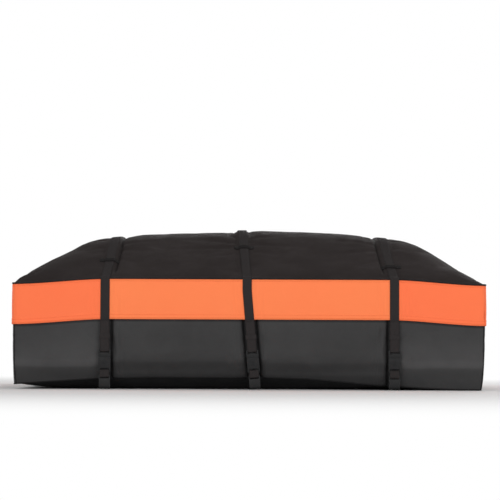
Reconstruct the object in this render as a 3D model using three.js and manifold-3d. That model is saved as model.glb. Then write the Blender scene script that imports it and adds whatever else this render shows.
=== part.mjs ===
// Soft cargo bag for a car roof: black coated fabric box with a domed lid, an orange storm
// flap all round, a zip on three sides, and three webbing straps with buckles and hooks.
// Millimetres, +Z up. The origin is under the middle of the bag, on the surface it lies on.
// X runs along the bag's length. The front, which has the buckles, faces -Y.

import * as THREE from 'three';
import { mergeVertices } from 'three/addons/utils/BufferGeometryUtils.js';
import Module from 'manifold-3d';

// Overall sizes, taken over the storm flaps
const LENGTH = 1300;
const WIDTH = 1000;
const CORNER_RADIUS = 22;
const FIT_GAP = 0.3;
const LID_SEAM_GAP = 0.8;
const FOOT_SEAM_GAP = 0.5;

// Seam heights
const TOP_SEAM_END = 287;
const TOP_SEAM_CROWN = 15;
const CROWN_RUN = 270;
const BOTTOM_SEAM_MID = 32;
const BELLY_CURL = 120;
const ZIP_HEIGHT = 236;

// Fabric
const FABRIC = 3;
const FLAP_THICKNESS = 2.5;
const FLAP_DROP = 110;
const FLAP_STAND_OFF = 12;
const PIPING_RADIUS = 2.5;
const TAPE_WIDTH = 9.5;
const TAPE_THICKNESS = 2;
const COIL_HALF_HEIGHT = 2.6;
const COIL_PROUD = 1.2;

// Lid: straight slopes from the seams up to a gentle dome
const LID_TOP = 457.4;
const END_SLOPE = 0.716;
const SIDE_SLOPE = 0.484;
const DOME_DROP_X = 23.8;
const DOME_DROP_Y = 14.8;
const DOME_SPAN_X = 465;
const DOME_SPAN_Y = 285;
const HIP_SOFTNESS = 13.6;
const SHOULDER_SOFTNESS = 15.6;
const GROOVE_RAMP = 200;
const GROOVE_BANK = 8;
const GROOVE_MARGIN = 1.5;

// Straps
const WEB_WIDTH = 25;
const WEB_THICKNESS = 1.8;
const OUTER_STRAP_X = LENGTH / 2 - 253;
const MIDDLE_FOOT_X = 16;
// Each strap crosses the lid on a line that may be skewed and bowed, between two grooves
// where the straps pull the filled lid in: one depth and spread for each side.
const STRAPS = [
  {
    name: 'left',
    x: -OUTER_STRAP_X,
    skew: 0,
    bow: 11,
    grooves: [{ depth: 9, spread: 12 }, { depth: 14, spread: 30 }],
    footX: -OUTER_STRAP_X,
    bendZ: 185,
    keeperY: WIDTH / 2 - 115,
  },
  {
    name: 'middle',
    x: -21,
    skew: -0.0275,
    bow: -7,
    grooves: [{ depth: 4, spread: 25 }, { depth: 6, spread: 18 }],
    footX: MIDDLE_FOOT_X,
    bendZ: 272,
    keeperY: WIDTH / 2 - 195,
  },
  {
    name: 'right',
    x: OUTER_STRAP_X,
    skew: 0,
    bow: -18,
    grooves: [{ depth: 14, spread: 30 }, { depth: 9, spread: 12 }],
    footX: OUTER_STRAP_X,
    bendZ: 185,
    keeperY: WIDTH / 2 - 78,
  },
];
const BEND_RUN = 6;
const TAIL_LENGTH = 82;
const WRAP_EASE = 0.85;
const BACK_LOOP_STRAIGHT = 4;
const BACK_LOOP_CLOSED = 18;
const BACK_LOOP_END = 58;
const KEEPER_WING = 15.5;
const KEEPER_LENGTH = WEB_WIDTH + 2 * KEEPER_WING;
const KEEPER_WIDTH = 20;
const KEEPER_THICKNESS = 1.6;
const KEEPER_SIDE_GAP = 1.2;
const KEEPER_FOOT_AT = 4;
const KEEPER_CELLS = 4;
const LIE_GAP = 0.45;
const UNDER_KEEPER_GAP = 0.75;
const TAIL_KEEPER_HEIGHT = 12;
const TAIL_KEEPER_THICKNESS = 1.5;
const TAIL_KEEPER_AT = 32;

// Buckle, hook and the webbing loop that joins them, measured up from the hook's underside
const HARDWARE_BASE = 1.5;
const SLOT_SIDE_GAP = 0.8;
const BUCKLE_RAIL = 3.2;
const BUCKLE_WIDTH = WEB_WIDTH + 2 * (SLOT_SIDE_GAP + BUCKLE_RAIL);
const BUCKLE_DEPTH = 9;
const BUCKLE_WALL = 1.8;
const BAR_RADIUS = 1.7;
const HOOK_RAIL = 1.7;
const HOOK_WIDTH = WEB_WIDTH + 2 * (SLOT_SIDE_GAP + HOOK_RAIL);
const HOOK_PLATE = 2.5;
const HOOK_LIP = 14;
const HOOK_BEND = 6;
const HOOK_REACH = 2 * HOOK_BEND;
const HOOK_SLOT_LOW = 28;
const HOOK_STRIP_LOW = HOOK_SLOT_LOW + 5.6;
const HOOK_TOP = HOOK_STRIP_LOW + 3.4;
const LINK_INNER_RADIUS = 3.2;
const LINK_LOOSE = 0.8;
const SOCKET_LOW = HOOK_TOP + 9;
const SOCKET_BAR = 4;
const SOCKET_SLOT = 6.5;
const SOCKET_FLOOR = 4;
const SOCKET_LENGTH = 40;
const SOCKET_TOP = SOCKET_LOW + SOCKET_LENGTH;
const SOCKET_CORNER = 4;
const WINDOW_ABOVE_FLOOR = 4;
const WINDOW_BELOW_TOP = 7;
const PLUG_SHOULDER = 9;
const PLUG_SLOT = 8;
const PLUG_CORNER = 2.5;
const PRONG_END_ROOM = 1.5;
const PRONG_LENGTH = SOCKET_LENGTH - SOCKET_BAR - SOCKET_SLOT - SOCKET_FLOOR - PRONG_END_ROOM;
const PRONG_WIDTH = 5.5;
const PRONG_TAPER = 1;
const PRONG_TIP = 3;
const PRONG_EAR_LOW = 5;
const PRONG_EAR_HIGH = 12;
const PRONG_NECK_AT = 14;
const PRONG_NECK = 2.2;
const GUIDE_HALF = 2;
const GUIDE_SHORTER = 4;

// Zip sliders and their pulls
const SLIDER_LENGTH = 18;
const SLIDER_HEIGHT = 11;
const SLIDER_PLATE = 2.5;
const SLIDER_PARK = 30;
const SLIDER_CORNER = 3;
const POST_RADIUS = 1.6;
const POST_HEAD_RIM = 1;
const POST_HEAD = 1;
const PULL_THICKNESS = 1.6;
const PULL_WIDTH = 9;
const PULL_LENGTH = 30;
const PULL_CORNER = 4;

// How far tools run past what they cut, and joined solids into each other
const CUT_PAST = 1;
const SINK = 0.5;
const ROUND_SIDES = 12;

const BLACK = new THREE.Color(0.2, 0.195, 0.195);
const materials = {
  tarp: new THREE.MeshStandardMaterial({ color: BLACK, roughness: 0.55, metalness: 0 }),
  orange: new THREE.MeshStandardMaterial({ color: 0xfd7c50, roughness: 0.6, metalness: 0 }),
  webbing: new THREE.MeshStandardMaterial({ color: 0x2b2829, roughness: 0.85, metalness: 0 }),
  zip: new THREE.MeshStandardMaterial({ color: 0x1b1b1c, roughness: 0.7, metalness: 0 }),
  plastic: new THREE.MeshStandardMaterial({ color: 0x161617, roughness: 0.42, metalness: 0 }),
  steel: new THREE.MeshStandardMaterial({ color: 0x202022, roughness: 0.4, metalness: 0.6 }),
};

const wasm = await Module();
wasm.setup();

const bag = new THREE.Group();
bag.name = 'cargo_bag';

function addPiece(parent, name, geometry, material) {
  const mesh = new THREE.Mesh(geometry, material);
  mesh.name = name;
  parent.add(mesh);
  return mesh;
}

// Solid geometry

function mappedBlock(cellsU, cellsV, place) {
  const geometry = new THREE.BoxGeometry(1, 1, 1, cellsU, cellsV, 1);
  const position = geometry.attributes.position;
  for (let i = 0; i < position.count; i += 1) {
    const column = Math.round((position.getX(i) + 0.5) * cellsU);
    const row = Math.round((position.getY(i) + 0.5) * cellsV);
    const layer = Math.round(position.getZ(i) + 0.5);
    const point = place(column, row, layer);
    position.setXYZ(i, point.x, point.y, point.z);
  }
  return geometry;
}

function mappedRing(count, sides, place) {
  const middle = 2;
  const geometry = new THREE.TorusGeometry(middle, 1, sides, count);
  const position = geometry.attributes.position;
  for (let i = 0; i < position.count; i += 1) {
    const x = position.getX(i);
    const y = position.getY(i);
    const turn = Math.atan2(y, x) / (2 * Math.PI);
    const station = (Math.round(turn * count) + count) % count;
    const point = place(station, Math.hypot(x, y) - middle, position.getZ(i));
    position.setXYZ(i, point.x, point.y, point.z);
  }
  return geometry;
}

function solidOf(geometry) {
  const bare = new THREE.BufferGeometry();
  bare.setAttribute('position', geometry.attributes.position.clone());
  if (geometry.index) {
    bare.setIndex(geometry.index.clone());
  }
  const merged = mergeVertices(bare, 1e-4);
  const mesh = new wasm.Mesh({
    numProp: 3,
    vertProperties: new Float32Array(merged.attributes.position.array),
    triVerts: new Uint32Array(merged.index.array),
  });
  return new wasm.Manifold(mesh);
}

function geometryOf(solid) {
  const mesh = solid.getMesh();
  const geometry = new THREE.BufferGeometry();
  geometry.setAttribute('position', new THREE.BufferAttribute(new Float32Array(mesh.vertProperties), 3));
  geometry.setIndex(new THREE.BufferAttribute(new Uint32Array(mesh.triVerts), 1));
  return geometry;
}

function joined(geometries) {
  return geometryOf(geometries.map(solidOf).reduce((sum, next) => sum.add(next)));
}

function cutFrom(geometry, tools) {
  return geometryOf(tools.map(solidOf).reduce((rest, tool) => rest.subtract(tool), solidOf(geometry)));
}

function box(lowX, highX, lowY, highY, lowZ, highZ) {
  const geometry = new THREE.BoxGeometry(highX - lowX, highY - lowY, highZ - lowZ);
  geometry.translate((lowX + highX) / 2, (lowY + highY) / 2, (lowZ + highZ) / 2);
  return geometry;
}

function roundedRectangle(lowX, highX, lowY, highY, radius) {
  const shape = new THREE.Shape();
  shape.moveTo(lowX + radius, lowY);
  shape.lineTo(highX - radius, lowY);
  shape.absarc(highX - radius, lowY + radius, radius, -Math.PI / 2, 0, false);
  shape.lineTo(highX, highY - radius);
  shape.absarc(highX - radius, highY - radius, radius, 0, Math.PI / 2, false);
  shape.lineTo(lowX + radius, highY);
  shape.absarc(lowX + radius, highY - radius, radius, Math.PI / 2, Math.PI, false);
  shape.lineTo(lowX, lowY + radius);
  shape.absarc(lowX + radius, lowY + radius, radius, Math.PI, 1.5 * Math.PI, false);
  return shape;
}

// A plate drawn in X and Z, from depth nearY (towards -Y) to farY
function platePiece(shape, nearY, farY, curveSegments) {
  const geometry = new THREE.ExtrudeGeometry(shape, {
    depth: farY - nearY,
    bevelEnabled: false,
    curveSegments,
  });
  geometry.rotateX(Math.PI / 2);
  geometry.translate(0, farY, 0);
  return geometry;
}

// A profile drawn in Y and Z, extruded across X and centred on it
function profilePiece(shape, width, curveSegments) {
  const geometry = new THREE.ExtrudeGeometry(shape, { depth: width, bevelEnabled: false, curveSegments });
  geometry.translate(0, 0, -width / 2);
  geometry.rotateY(Math.PI / 2);
  geometry.rotateX(Math.PI / 2);
  return geometry;
}

// Outline of the bag in plan

const HALF_LENGTH = LENGTH / 2;
const HALF_WIDTH = WIDTH / 2;
const CORE_X = HALF_LENGTH - CORNER_RADIUS;
const CORE_Y = HALF_WIDTH - CORNER_RADIUS;
const CORNER_STEPS = 2;
const END_CELLS = 4;

// Grid lines from the anchors that must be there, with the wide spaces between them divided
function gridLines(anchors, widest) {
  const sorted = [...anchors].sort((a, b) => a - b);
  const lines = [sorted[0]];
  sorted.slice(1).forEach((next, i) => {
    const last = sorted[i];
    const parts = Math.ceil((next - last) / widest);
    for (let k = 1; k <= parts; k += 1) {
      lines.push(last + ((next - last) * k) / parts);
    }
  });
  return lines;
}

const LID_INSET = 2 * PIPING_RADIUS + FIT_GAP;
const LID_HALF_X = HALF_LENGTH - LID_INSET;
const LID_HALF_Y = HALF_WIDTH - LID_INSET;
const LID_CORNER = CORNER_RADIUS - LID_INSET;
const BANK_FOOT = WEB_WIDTH / 2 + GROOVE_MARGIN;
const STRAP_MARGINS = [0, GROOVE_BANK, 20, 44]
  .flatMap((past) => [-BANK_FOOT - past, BANK_FOOT + past]);
const LINE_MARGIN = 60;
const SKEW_REACH = 140;
const FIRST_LID_LINE = 40;
const LID_CELL_X = 110;
const LID_CELL_Y = 58;

const lidLinesX = gridLines([
  ...[-1, 1].flatMap((s) => [s * LID_HALF_X, s * (LID_HALF_X - LID_CORNER / 2), s * CORE_X]),
  ...STRAPS.flatMap((strap) => STRAP_MARGINS.map((margin) => strap.x + margin)),
], LID_CELL_X);
const lidLinesY = gridLines([
  ...[-1, 1].flatMap((s) => [s * LID_HALF_Y, s * (LID_HALF_Y - LID_CORNER / 2), s * CORE_Y]),
  -HALF_WIDTH + FIRST_LID_LINE,
  0,
  HALF_WIDTH - FIRST_LID_LINE,
], LID_CELL_Y);

function strapLineX(strap, y) {
  return strap.x + strap.skew * y + strap.bow * (1 - (y / HALF_WIDTH) ** 2);
}

// A grid line near a strap runs along with it
function skewedLine(x, y) {
  return x + STRAPS.reduce((sum, strap) => {
    const near = Math.max(0, 1 - Math.max(0, Math.abs(x - strap.x) - LINE_MARGIN) / SKEW_REACH);
    return sum + (strapLineX(strap, y) - strap.x) * near;
  }, 0);
}

function longSideRuns(y) {
  return lidLinesX.filter((x) => Math.abs(x) < CORE_X - 1).map((x) => CORE_X + skewedLine(x, y));
}

const endRuns = Array.from({ length: END_CELLS - 1 }, (unused, i) => (2 * CORE_Y * (i + 1)) / END_CELLS);
const SIDES = [
  { corner: [-CORE_X, -CORE_Y], along: [1, 0], runs: longSideRuns(-HALF_WIDTH) },
  { corner: [CORE_X, -CORE_Y], along: [0, 1], runs: endRuns },
  {
    corner: [CORE_X, CORE_Y],
    along: [-1, 0],
    runs: longSideRuns(HALF_WIDTH).map((run) => 2 * CORE_X - run).reverse(),
  },
  { corner: [-CORE_X, CORE_Y], along: [0, -1], runs: endRuns },
];
const FRONT = 0;
const RIGHT = 1;
const BACK = 2;
const LEFT = 3;

// Each station has a point of the inner rectangle and the direction that points out of the bag
function station(core, angle) {
  return { x: core[0], y: core[1], outX: Math.cos(angle), outY: Math.sin(angle) };
}

function outwardAngle(side) {
  return Math.atan2(-SIDES[side].along[0], SIDES[side].along[1]);
}

function cornerStations(corner, side, fromAngle, toAngle) {
  return Array.from({ length: CORNER_STEPS + 1 }, (unused, i) => (
    station(SIDES[corner].corner, outwardAngle(side) + fromAngle + ((toAngle - fromAngle) * i) / CORNER_STEPS)
  ));
}

function straightStations(side) {
  const { corner, along, runs } = SIDES[side];
  const angle = outwardAngle(side);
  return runs.map((run) => station([corner[0] + along[0] * run, corner[1] + along[1] * run], angle));
}

// The stations of some sides in a row, with the seams at the middle of the corners
function runStations(sides, seamAngle) {
  const half = Math.PI / 4;
  const stations = [];
  sides.forEach((side, i) => {
    const first = i === 0;
    const last = i === sides.length - 1;
    const start = cornerStations(side, side, first ? -half + seamAngle : -half, 0);
    const end = cornerStations((side + 1) % 4, side, 0, last ? half - seamAngle : half);
    stations.push(...(first ? start : start.slice(1)), ...straightStations(side), ...end);
  });
  return stations;
}

function loopStations() {
  const stations = runStations([FRONT, RIGHT, BACK, LEFT], 0);
  return stations.slice(0, -1);
}

function atInset(s, inset) {
  return { x: s.x + s.outX * (CORNER_RADIUS - inset), y: s.y + s.outY * (CORNER_RADIUS - inset) };
}

// A sheet that stands along the outline, from the inset of its inner face to that of its outer
// face, between two heights that may depend on the place
function standingSheet(stations, innerInset, outerInset, lowHeight, highHeight) {
  return mappedBlock(stations.length - 1, 1, (column, row, layer) => {
    const plan = atInset(stations[column], layer === 0 ? innerInset : outerInset);
    const z = row === 0 ? lowHeight(plan.x, plan.y) : highHeight(plan.x, plan.y);
    return { x: plan.x, y: plan.y, z };
  });
}

// Seam heights

function smoothRamp(t) {
  const c = Math.min(Math.max(t, 0), 1);
  return c * c * (3 - 2 * c);
}

function topSeam(x) {
  return TOP_SEAM_END + TOP_SEAM_CROWN * smoothRamp((HALF_LENGTH - Math.abs(x)) / CROWN_RUN);
}

function bellyEdge(x) {
  return BOTTOM_SEAM_MID * (1 - (x / HALF_LENGTH) ** 2);
}

// Lid surface

function softLower(a, b, softness) {
  const h = Math.min(Math.max(0.5 + (0.5 * (b - a)) / softness, 0), 1);
  return b + (a - b) * h - softness * h * (1 - h);
}

function lidHeight(x, y) {
  const fromEnd = HALF_LENGTH - Math.abs(x);
  const fromSide = HALF_WIDTH - Math.abs(y);
  const end = TOP_SEAM_END + END_SLOPE * fromEnd;
  const side = topSeam(x) + SIDE_SLOPE * fromSide;
  const dome = LID_TOP - DOME_DROP_X * (x / DOME_SPAN_X) ** 2 - DOME_DROP_Y * (y / DOME_SPAN_Y) ** 2;
  const plain = softLower(softLower(end, side, HIP_SOFTNESS), dome, SHOULDER_SOFTNESS);
  const ramp = smoothRamp(Math.min(fromEnd, fromSide) / GROOVE_RAMP);
  return STRAPS.reduce((height, strap) => {
    const offset = x - strapLineX(strap, y);
    const away = Math.max(0, Math.abs(offset) - WEB_WIDTH / 2 - GROOVE_MARGIN);
    const { depth, spread } = strap.grooves[offset < 0 ? 0 : 1];
    return height - depth * ramp * Math.min(1, away / GROOVE_BANK) * Math.exp(-away / spread);
  }, plain);
}

// Moves a point near a square corner to where a round corner of that radius has it
function roundedCorner(x, y, halfX, halfY, radius) {
  const a = (Math.abs(x) - (halfX - radius)) / radius;
  const b = (Math.abs(y) - (halfY - radius)) / radius;
  if (a <= 0 || b <= 0) {
    return { x, y };
  }
  return {
    x: Math.sign(x) * (halfX - radius + radius * a * Math.sqrt(1 - (b * b) / 2)),
    y: Math.sign(y) * (halfY - radius + radius * b * Math.sqrt(1 - (a * a) / 2)),
  };
}

function lidPoint(column, row, layer) {
  const y = lidLinesY[row];
  const plan = roundedCorner(skewedLine(lidLinesX[column], y), y, LID_HALF_X, LID_HALF_Y, LID_CORNER);
  const z = lidHeight(plan.x, plan.y) - (layer === 0 ? FABRIC : 0);
  return { x: plan.x, y: plan.y, z };
}

// Fabric shell

const WALL_OUTER = FLAP_STAND_OFF;
const WALL_INNER = FLAP_STAND_OFF + FABRIC;
const WALL_SEAM = FIT_GAP / (2 * (CORNER_RADIUS - WALL_INNER));
const FLAP_SEAM = FIT_GAP / (2 * (CORNER_RADIUS - FLAP_THICKNESS));
const TAPE_LOW = ZIP_HEIGHT - FIT_GAP / 2 - TAPE_WIDTH;
const TAPE_HIGH = ZIP_HEIGHT + FIT_GAP / 2 + TAPE_WIDTH;

const BOTTOM_HALF_X = HALF_LENGTH - WALL_OUTER;
const BOTTOM_HALF_Y = HALF_WIDTH - WALL_OUTER;
const BOTTOM_CORNER = CORNER_RADIUS - WALL_OUTER;

function bellyHeight(x, y) {
  const fromEdge = BOTTOM_HALF_Y - Math.abs(y);
  const curl = Math.max(0, 1 - fromEdge / BELLY_CURL);
  return bellyEdge(x) * curl * curl;
}

const BOTTOM_CELL = 90;
const bottomLinesX = gridLines([-1, 1].flatMap((s) => [s * BOTTOM_HALF_X, s * CORE_X]), BOTTOM_CELL);
const bottomLinesY = [-1, 1].flatMap((s) => [
  s * BOTTOM_HALF_Y,
  s * (BOTTOM_HALF_Y - BOTTOM_CORNER),
  s * (BOTTOM_HALF_Y - BELLY_CURL / 3),
  s * (BOTTOM_HALF_Y - (BELLY_CURL * 2) / 3),
  s * (BOTTOM_HALF_Y - BELLY_CURL),
]).sort((a, b) => a - b);

function bottomPoint(column, row, layer) {
  const plan = roundedCorner(
    bottomLinesX[column],
    bottomLinesY[row],
    BOTTOM_HALF_X,
    BOTTOM_HALF_Y,
    BOTTOM_CORNER,
  );
  const z = bellyHeight(bottomLinesX[column], bottomLinesY[row]) + (layer === 0 ? 0 : FABRIC);
  return { x: plan.x, y: plan.y, z };
}

function wallFoot(x) {
  return bellyEdge(x) + FABRIC + FOOT_SEAM_GAP;
}

function addShell() {
  addPiece(
    bag,
    'bottom_panel',
    mappedBlock(bottomLinesX.length - 1, bottomLinesY.length - 1, bottomPoint),
    materials.tarp,
  );
  const lidUnder = (x, y) => lidHeight(x, y) - FABRIC - LID_SEAM_GAP;
  const names = ['front', 'right', 'back', 'left'];
  names.forEach((name, side) => {
    const stations = runStations([side], WALL_SEAM);
    const high = side === BACK ? lidUnder : () => TAPE_LOW - FIT_GAP;
    const wall = standingSheet(stations, WALL_INNER, WALL_OUTER, wallFoot, high);
    addPiece(bag, `${name}_wall`, wall, materials.tarp);
  });
  const threeSides = runStations([LEFT, FRONT, RIGHT], WALL_SEAM);
  addPiece(
    bag,
    'lid_skirt',
    standingSheet(threeSides, WALL_INNER, WALL_OUTER, () => TAPE_HIGH + FIT_GAP, lidUnder),
    materials.tarp,
  );
  names.forEach((name, side) => {
    const stations = runStations([side], FLAP_SEAM);
    const flapFoot = (x) => topSeam(x) - FLAP_DROP;
    const flap = standingSheet(stations, FLAP_THICKNESS, 0, flapFoot, topSeam);
    addPiece(bag, `${name}_storm_flap`, flap, materials.orange);
  });
  return addPiece(
    bag,
    'lid_panel',
    mappedBlock(lidLinesX.length - 1, lidLinesY.length - 1, lidPoint),
    materials.tarp,
  );
}

function addPiping() {
  const stations = loopStations();
  const geometry = mappedRing(stations.length, 6, (index, out, up) => {
    const plan = atInset(stations[index], PIPING_RADIUS * (1 - out));
    const core = atInset(stations[index], PIPING_RADIUS);
    const z = topSeam(core.x) + FIT_GAP + PIPING_RADIUS * (1 + up);
    return { x: plan.x, y: plan.y, z };
  });
  addPiece(bag, 'lid_piping', geometry, materials.tarp);
}

// Zip: a tape on each side of the joint line, with the coil as a thicker edge
function tapeSheet(stations, direction) {
  const joint = ZIP_HEIGHT + (direction * FIT_GAP) / 2;
  const heights = [joint, joint + direction * COIL_HALF_HEIGHT, joint + direction * TAPE_WIDTH];
  const ordered = direction > 0 ? heights : [...heights].reverse();
  const coil = mappedBlock(stations.length - 1, 1, (column, row, layer) => {
    const inset = layer === 0 ? WALL_OUTER + TAPE_THICKNESS : WALL_OUTER - COIL_PROUD;
    const plan = atInset(stations[column], inset);
    const low = Math.min(heights[0], heights[1]);
    const high = Math.max(heights[0], heights[1]);
    return { x: plan.x, y: plan.y, z: row === 0 ? low : high };
  });
  const tape = mappedBlock(stations.length - 1, 1, (column, row, layer) => {
    const plan = atInset(stations[column], layer === 0 ? WALL_OUTER + TAPE_THICKNESS : WALL_OUTER);
    return { x: plan.x, y: plan.y, z: row === 0 ? ordered[0] : ordered[2] };
  });
  return joined([tape, coil]);
}

function addZip() {
  const stations = runStations([LEFT, FRONT, RIGHT], WALL_SEAM);
  addPiece(bag, 'zip_lower_tape', tapeSheet(stations, -1), materials.zip);
  addPiece(bag, 'zip_upper_tape', tapeSheet(stations, 1), materials.zip);

  const coilFace = -HALF_WIDTH + WALL_OUTER - COIL_PROUD;
  const plateFar = coilFace - FIT_GAP;
  const plateNear = plateFar - SLIDER_PLATE;
  const flangeFar = -HALF_WIDTH + WALL_OUTER - FIT_GAP;
  const flangeInner = COIL_HALF_HEIGHT + 2 * FIT_GAP;
  const halfLength = SLIDER_LENGTH / 2;
  const halfHeight = SLIDER_HEIGHT / 2;
  const pullFar = plateNear - FIT_GAP;
  const pullNear = pullFar - PULL_THICKNESS;
  const headFar = pullNear - FIT_GAP;
  const headNear = headFar - POST_HEAD;
  const headRadius = POST_RADIUS + POST_HEAD_RIM;
  [['left', -1], ['right', 1]].forEach(([name, way]) => {
    const group = new THREE.Group();
    group.position.set(way * SLIDER_PARK, 0, ZIP_HEIGHT);
    bag.add(group);
    const outline = roundedRectangle(-halfLength, halfLength, -halfHeight, halfHeight, SLIDER_CORNER);
    const postLength = plateNear - headFar + 2 * SINK;
    const post = new THREE.CylinderGeometry(POST_RADIUS, POST_RADIUS, postLength, ROUND_SIDES);
    post.translate(0, (plateNear + headFar) / 2, 0);
    const head = new THREE.CylinderGeometry(headRadius, headRadius, headFar - headNear, ROUND_SIDES);
    head.translate(0, (headFar + headNear) / 2, 0);
    const halfFlange = halfLength - SLIDER_CORNER;
    const body = joined([
      platePiece(outline, plateNear, plateFar, 3),
      box(-halfFlange, halfFlange, plateFar - SINK, flangeFar, flangeInner, halfHeight),
      box(-halfFlange, halfFlange, plateFar - SINK, flangeFar, -halfHeight, -flangeInner),
      post,
      head,
    ]);
    addPiece(group, `${name}_zip_slider`, body, materials.steel);
    const eyeRadius = POST_RADIUS + FIT_GAP;
    const halfPull = PULL_WIDTH / 2;
    const pull = roundedRectangle(-halfPull, halfPull, halfPull - PULL_LENGTH, halfPull, PULL_CORNER);
    const eye = new THREE.Path();
    eye.absarc(0, 0, eyeRadius, 0, 2 * Math.PI, true);
    pull.holes.push(eye);
    addPiece(group, `${name}_zip_pull`, platePiece(pull, pullNear, pullFar, 4), materials.plastic);
  });
}

// Straps

const MAIN_OFFSET = WEB_THICKNESS / 2 + FIT_GAP;
const TURN_RADIUS = BAR_RADIUS + MAIN_OFFSET;
const LINK_TURN = LINK_INNER_RADIUS + WEB_THICKNESS / 2;
const FRONT_MAIN_Y = -HALF_WIDTH - MAIN_OFFSET;
const FRONT_PLANE_Y = FRONT_MAIN_Y - TURN_RADIUS;
const BACK_MAIN_Y = HALF_WIDTH + MAIN_OFFSET;
const BACK_PLANE_Y = BACK_MAIN_Y + LINK_TURN;
const PLUG_SLOT_LOW = SOCKET_TOP + FIT_GAP + PLUG_SHOULDER;
const PLUG_BAR_AT = PLUG_SLOT_LOW + PLUG_SLOT + BAR_RADIUS;
const HOOK_PIVOT = (HOOK_STRIP_LOW + HOOK_TOP) / 2;
const LINK_LOW_TURN = HOOK_STRIP_LOW - LINK_LOOSE + LINK_INNER_RADIUS;
const LINK_HIGH_TURN = SOCKET_LOW + SOCKET_BAR + LINK_LOOSE - LINK_INNER_RADIUS;
const PIPING_WRAP = PIPING_RADIUS + MAIN_OFFSET;

// How the front part of a strap leans, as X moved for each millimetre of height
function leanSlope(strap) {
  return (strapLineX(strap, -HALF_WIDTH) - strap.footX) / (strap.bendZ - HARDWARE_BASE);
}

function frontStrapX(strap, z) {
  return strapLineX(strap, -HALF_WIDTH) - Math.max(0, strap.bendZ - z) * leanSlope(strap);
}

// Height over the lid's own facets, so that what lies on it clears them
function lidProbe(lid) {
  lid.updateMatrixWorld(true);
  lid.material.side = THREE.FrontSide;
  const ray = new THREE.Raycaster();
  const down = new THREE.Vector3(0, 0, -1);
  return (x, y) => {
    ray.set(new THREE.Vector3(x, y, 2 * LID_TOP), down);
    return ray.intersectObject(lid)[0].point.z;
  };
}

function arcPoints(centreY, centreZ, radius, fromAngle, toAngle, steps) {
  return Array.from({ length: steps + 1 }, (unused, i) => {
    const angle = fromAngle + ((toAngle - fromAngle) * i) / steps;
    return [centreY + radius * Math.cos(angle), centreZ + radius * Math.sin(angle)];
  });
}

// The strap's centre line from the tail in front, round the buckle's bar, over the lid and down
// to the loop that holds the hook at the back
function strapPath(strap, probe) {
  const lean = Math.atan(leanSlope(strap));
  const rise = Math.cos(lean);
  const points = [];
  const add = (x, y, z, tilt) => points.push({ x, y, z, tilt });
  const addLeaning = (y, along) => {
    const z = HARDWARE_BASE + along * rise;
    add(frontStrapX(strap, z), y, z, lean);
  };
  addLeaning(FRONT_PLANE_Y - TURN_RADIUS, PLUG_BAR_AT + TAIL_LENGTH);
  addLeaning(FRONT_PLANE_Y - TURN_RADIUS, PLUG_BAR_AT + TAIL_LENGTH / 2);
  arcPoints(FRONT_PLANE_Y, PLUG_BAR_AT, TURN_RADIUS, Math.PI, 2 * Math.PI, 8)
    .forEach(([y, along]) => addLeaning(y, along));
  const seamX = strapLineX(strap, -HALF_WIDTH);
  const seamTop = topSeam(seamX) + FIT_GAP + PIPING_RADIUS;
  add(frontStrapX(strap, strap.bendZ - BEND_RUN), FRONT_MAIN_Y, strap.bendZ - BEND_RUN, lean);
  add(seamX, FRONT_MAIN_Y, strap.bendZ + BEND_RUN, 0);
  const wrapEnd = Math.PI / 2 + Math.atan(SIDE_SLOPE * WRAP_EASE);
  arcPoints(-HALF_WIDTH + PIPING_RADIUS, seamTop, PIPING_WRAP, Math.PI, wrapEnd, 3)
    .forEach(([y, z]) => add(seamX, y, z, 0));
  const edge = HALF_WIDTH - FIRST_LID_LINE + 1;
  lidLinesY.filter((y) => Math.abs(y) < edge).forEach((y) => {
    const x = strapLineX(strap, y);
    const half = WEB_WIDTH / 2;
    const z = Math.max(probe(x - half, y), probe(x, y), probe(x + half, y)) + MAIN_OFFSET;
    add(x, y, z, 0);
  });
  const backX = strapLineX(strap, HALF_WIDTH);
  const backTop = topSeam(backX) + FIT_GAP + PIPING_RADIUS;
  arcPoints(HALF_WIDTH - PIPING_RADIUS, backTop, PIPING_WRAP, Math.PI - wrapEnd, 0, 3)
    .forEach(([y, z]) => add(backX, y, z, 0));
  const loopZ = HARDWARE_BASE + LINK_LOW_TURN;
  arcPoints(BACK_PLANE_Y, loopZ, LINK_TURN, -Math.PI, 0, 10)
    .forEach(([y, z]) => add(backX, y, z, 0));
  const backedY = BACK_MAIN_Y + WEB_THICKNESS + FIT_GAP;
  add(backX, BACK_PLANE_Y + LINK_TURN, loopZ + BACK_LOOP_STRAIGHT, 0);
  add(backX, backedY, loopZ + BACK_LOOP_CLOSED, 0);
  add(backX, backedY, loopZ + BACK_LOOP_END, 0);
  return points;
}

function ribbon(points, width, thickness) {
  const frames = points.map((point, i) => {
    const before = points[Math.max(0, i - 1)];
    const after = points[Math.min(points.length - 1, i + 1)];
    const up = new THREE.Vector3(Math.sin(point.tilt), 0, Math.cos(point.tilt));
    const travel = new THREE.Vector3(after.x - before.x, after.y - before.y, after.z - before.z);
    const alongY = travel.y;
    const alongUp = travel.dot(up);
    const size = Math.hypot(alongY, alongUp);
    const normal = up.clone().multiplyScalar(alongY / size).add(new THREE.Vector3(0, -alongUp / size, 0));
    const across = new THREE.Vector3(Math.cos(point.tilt), 0, -Math.sin(point.tilt));
    return { centre: new THREE.Vector3(point.x, point.y, point.z), normal, across };
  });
  return mappedBlock(1, points.length - 1, (column, row, layer) => {
    const { centre, normal, across } = frames[row];
    return centre.clone()
      .addScaledVector(across, (column - 0.5) * width)
      .addScaledVector(normal, (layer - 0.5) * thickness);
  });
}

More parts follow.
